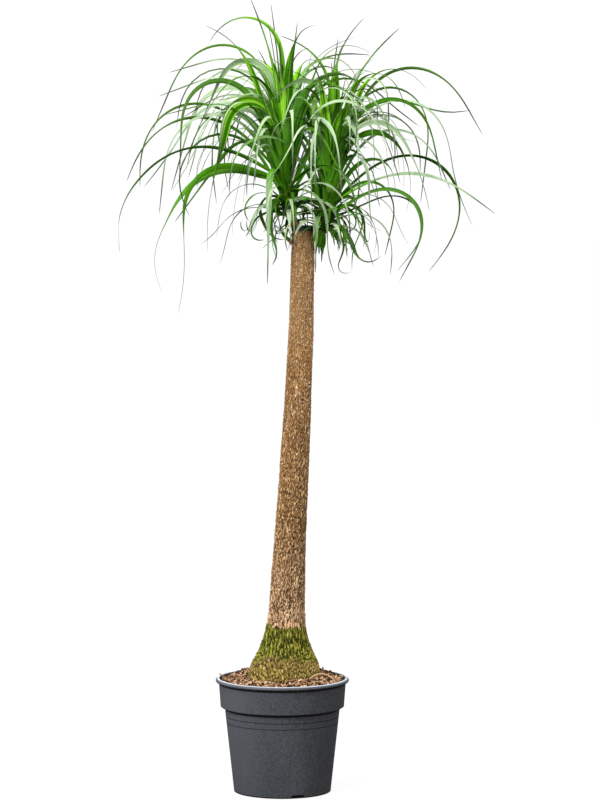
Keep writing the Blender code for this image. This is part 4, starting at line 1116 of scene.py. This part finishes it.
def ruled_leaf(head, index, attempt):
    """The rule for a head's further leaves: low ones short and hanging, middle ones long and arching, top
    ones broad and upright. Each try at a leaf has its own seeded draw."""
    uniform = random.Random(head.seed * 100003 + index * 101 + attempt).uniform
    height = 0.10 + 0.90 * (index + 0.5) / head.count
    azimuth = head.first_azimuth + GOLDEN_ANGLE * index + uniform(-22, 22)
    sway, twist, curl = uniform(-35, 35), uniform(-160, 160), uniform(-50, 35)
    if head is SHOOT:
        return Leaf(azimuth, uniform(10, 80), uniform(-100, 10), 0.1, 0.95, uniform(0.028, 0.060), 0.0045,
                    height, 2.0 * sway, 0.0)
    if height > TOP_LEAVES:
        lift = uniform(70, 86)
        return Leaf(azimuth, lift, lift - uniform(35, 150), uniform(0.38, 0.54), 1.0, uniform(0.25, 0.37),
                    uniform(0.021, 0.026), height, 0.4 * sway, 0.1 * twist)
    if height < LOW_LEAVES:
        length = (uniform(0.11, 0.20) + 0.26 * height) * (1.0 - LOW_DEPTH_SHARE * facing(azimuth))
        return Leaf(azimuth, uniform(0, 30) + 60 * height, uniform(-105, -50), 0.0, uniform(0.7, 1.0), length,
                    uniform(0.011, 0.015), height, sway, 0.5 * twist, curl)
    length = uniform(0.36, 0.52) * (1.0 - DEPTH_SHARE * facing(azimuth))
    end = uniform(-98, -58) * (1.0 - HANG_SHARE * facing(azimuth))
    return Leaf(azimuth, uniform(48, 62) + 34 * height, end, uniform(0.10, 0.28), uniform(0.64, 0.96), length,
                uniform(0.014, 0.019), height, sway, twist, curl)


def chosen_leaf(head, index, attempt):
    """A chosen leaf, fanned out, which steps aside to the front and the back in turn where it would cross
    another."""
    side = 1 if attempt % 2 else -1
    return head.chosen[index]._replace(fan=FANS[index % len(FANS)] + side * FAN_STEP * ((attempt + 1) // 2))


def thread_leaf(head, index):
    """Narrow leaves that arch among the others."""
    uniform = random.Random(head.seed * 7919 + index).uniform
    height = uniform(0.30, 0.97)
    azimuth = head.first_azimuth + 90.0 + GOLDEN_ANGLE * index + uniform(-25, 25)
    end = uniform(-95, -40) * (1.0 - HANG_SHARE * facing(azimuth))
    return Leaf(azimuth, uniform(44, 60) + 34 * height, end, uniform(0.08, 0.30), uniform(0.70, 1.0),
                uniform(0.32, 0.50) * (1.0 - DEPTH_SHARE * facing(azimuth)),
                uniform(0.0060, 0.0120) * (1.0 + 0.6 * facing(azimuth)), height,
                uniform(-50, 50), uniform(-200, 200), uniform(-60, 50))


def tuft_leaf(head, index):
    """Short curling leaves round the foot of the stem."""
    uniform = random.Random(head.seed * 6101 + index).uniform
    height = uniform(0.02, 0.46)
    azimuth = head.first_azimuth + 40.0 + GOLDEN_ANGLE * index + uniform(-25, 25)
    return Leaf(azimuth, uniform(0, 50) + 50 * height, uniform(-120, -20), 0.0, uniform(0.55, 1.0),
                uniform(0.10, 0.26) * (1.0 - LOW_DEPTH_SHARE * facing(azimuth)), uniform(0.0060, 0.0115),
                height, uniform(-80, 80), uniform(-160, 160), uniform(-110, 190))


def spear_leaf(head, index):
    """Young leaves in the middle of the head."""
    uniform = random.Random(head.seed * 5003 + index).uniform
    lift = uniform(78, 89)
    return Leaf(uniform(0, 360), lift, lift - uniform(0, 60), uniform(0.3, 0.6), 1.0, uniform(0.20, 0.32),
                uniform(0.006, 0.015), uniform(0.85, 1.0), uniform(-20, 20), uniform(-30, 30))


def sheath_leaf(head, index):
    """Clasping leaf bases that hide the stem."""
    uniform = random.Random(head.seed * 4001 + index).uniform
    return Leaf(GOLDEN_ANGLE * index, uniform(74, 82), uniform(40, 75), 0.35, 1.0, uniform(0.045, 0.100),
                uniform(0.014, 0.020), 0.92 * (index + 0.5) / SHEATHS, uniform(-30, 30), 0.0)


def cover_leaf(head, index):
    """Short leaves that hang in front of the right head's branch collar."""
    uniform = random.Random(head.seed * 3001 + index).uniform
    return Leaf(-100.0 + 22.0 * index, uniform(10, 50), uniform(-104, -70), 0.0, uniform(0.5, 0.9),
                uniform(0.060, 0.110), uniform(0.010, 0.014), uniform(0.01, 0.10),
                uniform(-40, 40), uniform(-60, 60), uniform(-60, 60))


def drape_leaf(head, index):
    """Broad pale leaves that rise from the upper stem and hang down over the front."""
    uniform = random.Random(head.seed * 2003 + index).uniform
    return Leaf(-163.0 + 54.0 * index + uniform(-9, 9), uniform(60, 74), uniform(-90, -74),
                uniform(0.12, 0.22), uniform(0.66, 0.88), uniform(0.30, 0.38), uniform(0.014, 0.018),
                uniform(0.60, 0.86), uniform(-32, 32), uniform(20, 60), uniform(-15, 15))


# the rules for the other leaves with the build of their blades, in the order of EXTRAS
EXTRA_RULES = ((thread_leaf, LEAF_TAPER), (tuft_leaf, TUFT_TAPER), (spear_leaf, FAN_TAPER),
               (sheath_leaf, TUFT_TAPER), (cover_leaf, TUFT_TAPER), (drape_leaf, LEAF_TAPER))


def packed_leaves(head):
    """The leaves of a packed head: of each leaf's tries, the one whose tip is a point of the head's mesh."""
    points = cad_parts[head.name].data.vertices
    tree = KDTree(len(points))
    for index, point in enumerate(points):
        tree.insert(point.co, index)
    tree.balance()
    found = []
    for rule, count in ((chosen_leaf, len(head.chosen)), (ruled_leaf, head.count)):
        for index in range(count):
            for attempt in range(TRIES):
                leaf = rule(head, index, attempt)
                if tree.find(leaf_path(head, leaf)[-1][0])[2] < SAME_PLACE:
                    found.append(leaf)
                    break
    return found


def near_trunk(place):
    off = math.hypot(place.x - trunk_axis_x(place.z), place.y)
    return place.z < TRUNK_CUT_Z + 0.004 and off < trunk_radius(place.z) + TRUNK_CLEAR


def has_room(head, leaf):
    """Whether an extra leaf stays inside the part's box and off the face of the trunk."""
    low, high = cad_box
    for place, _, _ in leaf_path(head, leaf)[::2]:
        inside = (low[axis] + BOX_MARGIN < place[axis] < high[axis] - BOX_MARGIN for axis in range(3))
        if not all(inside) or near_trunk(place):
            return False
    return True


def blade_halves(draw, leaf, kind, share, place, side, normal):
    """Half the blade's width at each step, kept inside the part's box, with how far it has narrowed."""
    taper = 1.0 - smooth(draw.uniform(*kind.hold), draw.uniform(*kind.narrow), share)
    sheath = 1.0 + (SHEATH_WIDTH - 1.0) * (1.0 - smooth(0.0, SHEATH_SHARE, share))
    thread = THREAD * (1.0 - 0.6 * smooth(0.85, 1.0, share))
    half = np.maximum(0.5 * kind.growth * leaf.width * taper * sheath, thread)
    gap = np.minimum(place - cad_box[0], np.subtract(cad_box[1], place))
    room = gap / (np.abs(side) + 0.4 * np.abs(normal) + 1e-6)
    return np.minimum(half, np.maximum(room.min(axis=1), LEAST_HALF)), taper


def blade_tone(draw, kind, turn):
    """How pale a blade is, 0 to 1: low tufts stay dark, and those towards the light get brighter."""
    tone = draw.random()
    if kind is TUFT_TAPER:
        return tone * TUFT_TONE
    # blades that face the front or the left, towards the key light, get a paler tone: painted light
    if math.sin(turn) < -0.35 or math.cos(turn) < -0.5:
        return 0.28 + 0.72 * tone
    return tone


def add_blade(parts, head, leaf, draw, age, kind, fine=False):
    """One closed thin blade with a channelled section, a clasping base and a drawn-out tip."""
    top, low = THIN_SECTION if fine else WIDE_SECTION
    turn = math.radians(leaf.azimuth)
    roll = abs(leaf.twist) * math.cos(turn) * (-1.0 if draw.random() < UNDERSIDES else 1.0)
    rows = leaf_path(head, leaf._replace(twist=roll))[::2 if fine else 1]
    place, side, normal = (np.array([row[column] for row in rows]) for column in range(3))
    place = np.clip(place, np.add(cad_box[0], LEAST_HALF), np.subtract(cad_box[1], LEAST_HALF))
    share = np.linspace(0.0, 1.0, len(rows))
    half, taper = blade_halves(draw, leaf, kind, share, place, side, normal)
    channel = kind.fold + ROOT_FOLD * (1.0 - smooth(0.0, 0.30, share))
    phase, pace = draw.uniform(0.0, 6.28), draw.uniform(14.0, 26.0)
    ripple = RIPPLE * np.sin(pace * share + phase) * smooth(0.1, 0.5, share)
    tone = blade_tone(draw, kind, turn)
    ring_u = np.array(top + low)
    upper = len(top)
    points = []
    for at, u in enumerate(ring_u):
        lift = half * (channel * abs(u) ** 1.5 + ripple * u)
        if at >= upper:
            lift = lift - BLADE_THICKNESS * np.minimum(1.0, half / 0.002) * (1.0 + 0.5 * (1.0 - abs(u)))
        points.append(place + (half * u)[:, None] * side + lift[:, None] * normal)
    points = np.stack(points, axis=1)[:-1].reshape(-1, 3)
    rings, sides = len(rows) - 1, len(ring_u)
    last = (rings - 1) * sides
    faces = rod(rings, sides)[:-1]
    faces += [(last + at, last + (at + 1) % sides, rings * sides) for at in range(sides)]
    below = [0.0 if at < upper - 1 else 1.0 for at in range(sides)]
    on_faces = {"under": (rings - 1) * below + [1.0] + below}
    shares = np.append(np.repeat(share[:-1], sides), 1.0)
    looks = {
        "share": shares,
        "along": shares * leaf.length,
        "across": np.append((half[:-1, None] * ring_u[None, :]).reshape(-1), 0.0),
        "tone": tone,
        "age": age,
        "thin": np.append(np.repeat(1.0 - taper[:-1], sides), 1.0),
        "edge": np.append(np.tile(np.abs(ring_u), rings), 1.0),
    }
    parts.add(np.concatenate([points, place[-1:]]), faces, looks, on_faces)


def add_core(parts, head):
    """The stem that the leaves clasp, with rings of old leaf scars."""
    rows = [stem_point(head.stem, step / CORE_STEPS) for step in range(CORE_STEPS + 1)]
    points = []
    for step, place in enumerate(rows):
        radius = stem_radius(head, step / CORE_STEPS) * (0.96 + 0.05 * math.sin(1.9 * step))
        points += [place + radius * outward for outward in spokes(way_along(rows, step), TO_BACK, CORE_SIDES)]
    looks = {"share": 0.2, "along": 0.06, "across": 0.01, "tone": 0.1, "age": 1.0, "thin": 0.0, "edge": 0.0}
    parts.add(points, rod(CORE_STEPS + 1, CORE_SIDES), looks, {"under": 0.0})


def make_head(head, material):
    draw = random.Random(head.seed)
    parts = Pieces()
    add_core(parts, head)
    for leaf in packed_leaves(head):
        fan = leaf.height > TOP_LEAVES and leaf.width > FAN_WIDTH
        age = 0.0 if fan else 0.28 + 0.72 * (1.0 - leaf.height) ** 0.8
        add_blade(parts, head, leaf, draw, age, FAN_TAPER if fan else LEAF_TAPER)
    for (rule, kind), count in zip(EXTRA_RULES, EXTRAS.get(head.name, ())):
        for leaf in (rule(head, index) for index in range(count)):
            if has_room(head, leaf):
                age = SPEAR_AGE if rule is spear_leaf else 0.30 + 0.70 * (1.0 - leaf.height)
                add_blade(parts, head, leaf, draw, age, kind, fine=rule is not sheath_leaf)
    slot = "young_leaf" if head is SHOOT else "leaf_green"
    return dress(parts.build(head.name + "_leaves", material, smooth_angle=75), slot, head.name)


# ---- stage -------------------------------------------------------------------------------------------------
def make_stage():
    """A round pale floor that sweeps up into a wall on every side."""
    profile = [(0.0001, 0.0), (0.5, 0.0), (FLOOR_REACH - SWEEP_BEND, 0.0),
               *arc(FLOOR_REACH - SWEEP_BEND, SWEEP_BEND, SWEEP_BEND, SWEEP_BEND, range(-84, 1, 6)),
               (FLOOR_REACH, WALL_HEIGHT)]
    turns = [2.0 * math.pi * side / SWEEP_SIDES for side in range(SWEEP_SIDES)]
    points = [(radius * math.cos(turn), radius * math.sin(turn), z)
              for radius, z in profile for turn in turns]
    parts = Pieces()
    parts.add(points, strips(len(profile), SWEEP_SIDES))
    sweep = parts.build("sweep", stage_material(), smooth_angle=30)
    sweep.visible_diffuse = False
    sweep.visible_glossy = False
    sweep.visible_shadow = False


def soft_light(name, place, target, size, power, colour):
    lamp = bpy.data.lights.new(name, "AREA")
    lamp.shape = "RECTANGLE"
    lamp.size, lamp.size_y = size, size
    lamp.energy = power
    lamp.color = colour
    made = add_object(name, lamp)
    made.location = place
    made.rotation_euler = (Vector(target) - Vector(place)).to_track_quat("-Z", "Y").to_euler()


def make_sky():
    """A sky that is bright overhead, dim below and a little brighter on the left."""
    world = bpy.data.worlds.new("studio")
    world.use_nodes = True
    tree = world.node_tree
    backdrop = tree.nodes["Background"]
    backdrop.inputs["Color"].default_value = (1.0, 1.0, 1.0, 1.0)
    way, split, both = (tree.nodes.new("ShaderNode" + kind) for kind in ("TexCoord", "SeparateXYZ", "Math"))
    both.operation = "MULTIPLY"
    tree.links.new(way.outputs["Generated"], split.inputs[0])
    for socket, (axis, values) in enumerate(SKY):
        ramp = tree.nodes.new("ShaderNodeMapRange")
        tree.links.new(split.outputs[axis], ramp.inputs["Value"])
        for key, value in zip(("From Min", "From Max", "To Min", "To Max"), values):
            ramp.inputs[key].default_value = value
        tree.links.new(ramp.outputs["Result"], both.inputs[socket])
    tree.links.new(both.outputs[0], backdrop.inputs["Strength"])
    bpy.context.scene.world = world


def make_lights():
    """A soft key from the upper left and a fill from the right, under the sky."""
    bpy.context.scene.view_settings.view_transform = "Standard"
    make_sky()
    for name, light in LIGHTS.items():
        soft_light(name, *light)


def make_camera():
    """The front view: level with the leafy heads, a long lens a few metres off, tipped slightly down."""
    lens = bpy.data.cameras.new("camera")
    lens.sensor_fit = "VERTICAL"
    lens.sensor_height = 36.0
    lens.sensor_width = 36.0
    lens.lens = CAMERA_LENS
    lens.clip_end = 100.0
    camera = add_object("camera", lens)
    camera.location = CAMERA_PLACE
    camera.rotation_euler = (math.radians(90.0 - CAMERA_TIP), 0.0, 0.0)
    bpy.context.scene.camera = camera


def main():
    make_camera()
    make_pot()
    make_soil()
    make_chips()
    make_trunk()
    leaf = leaf_material()
    for head in HEADS:
        make_head(head, leaf)
    make_stage()
    make_lights()


main()
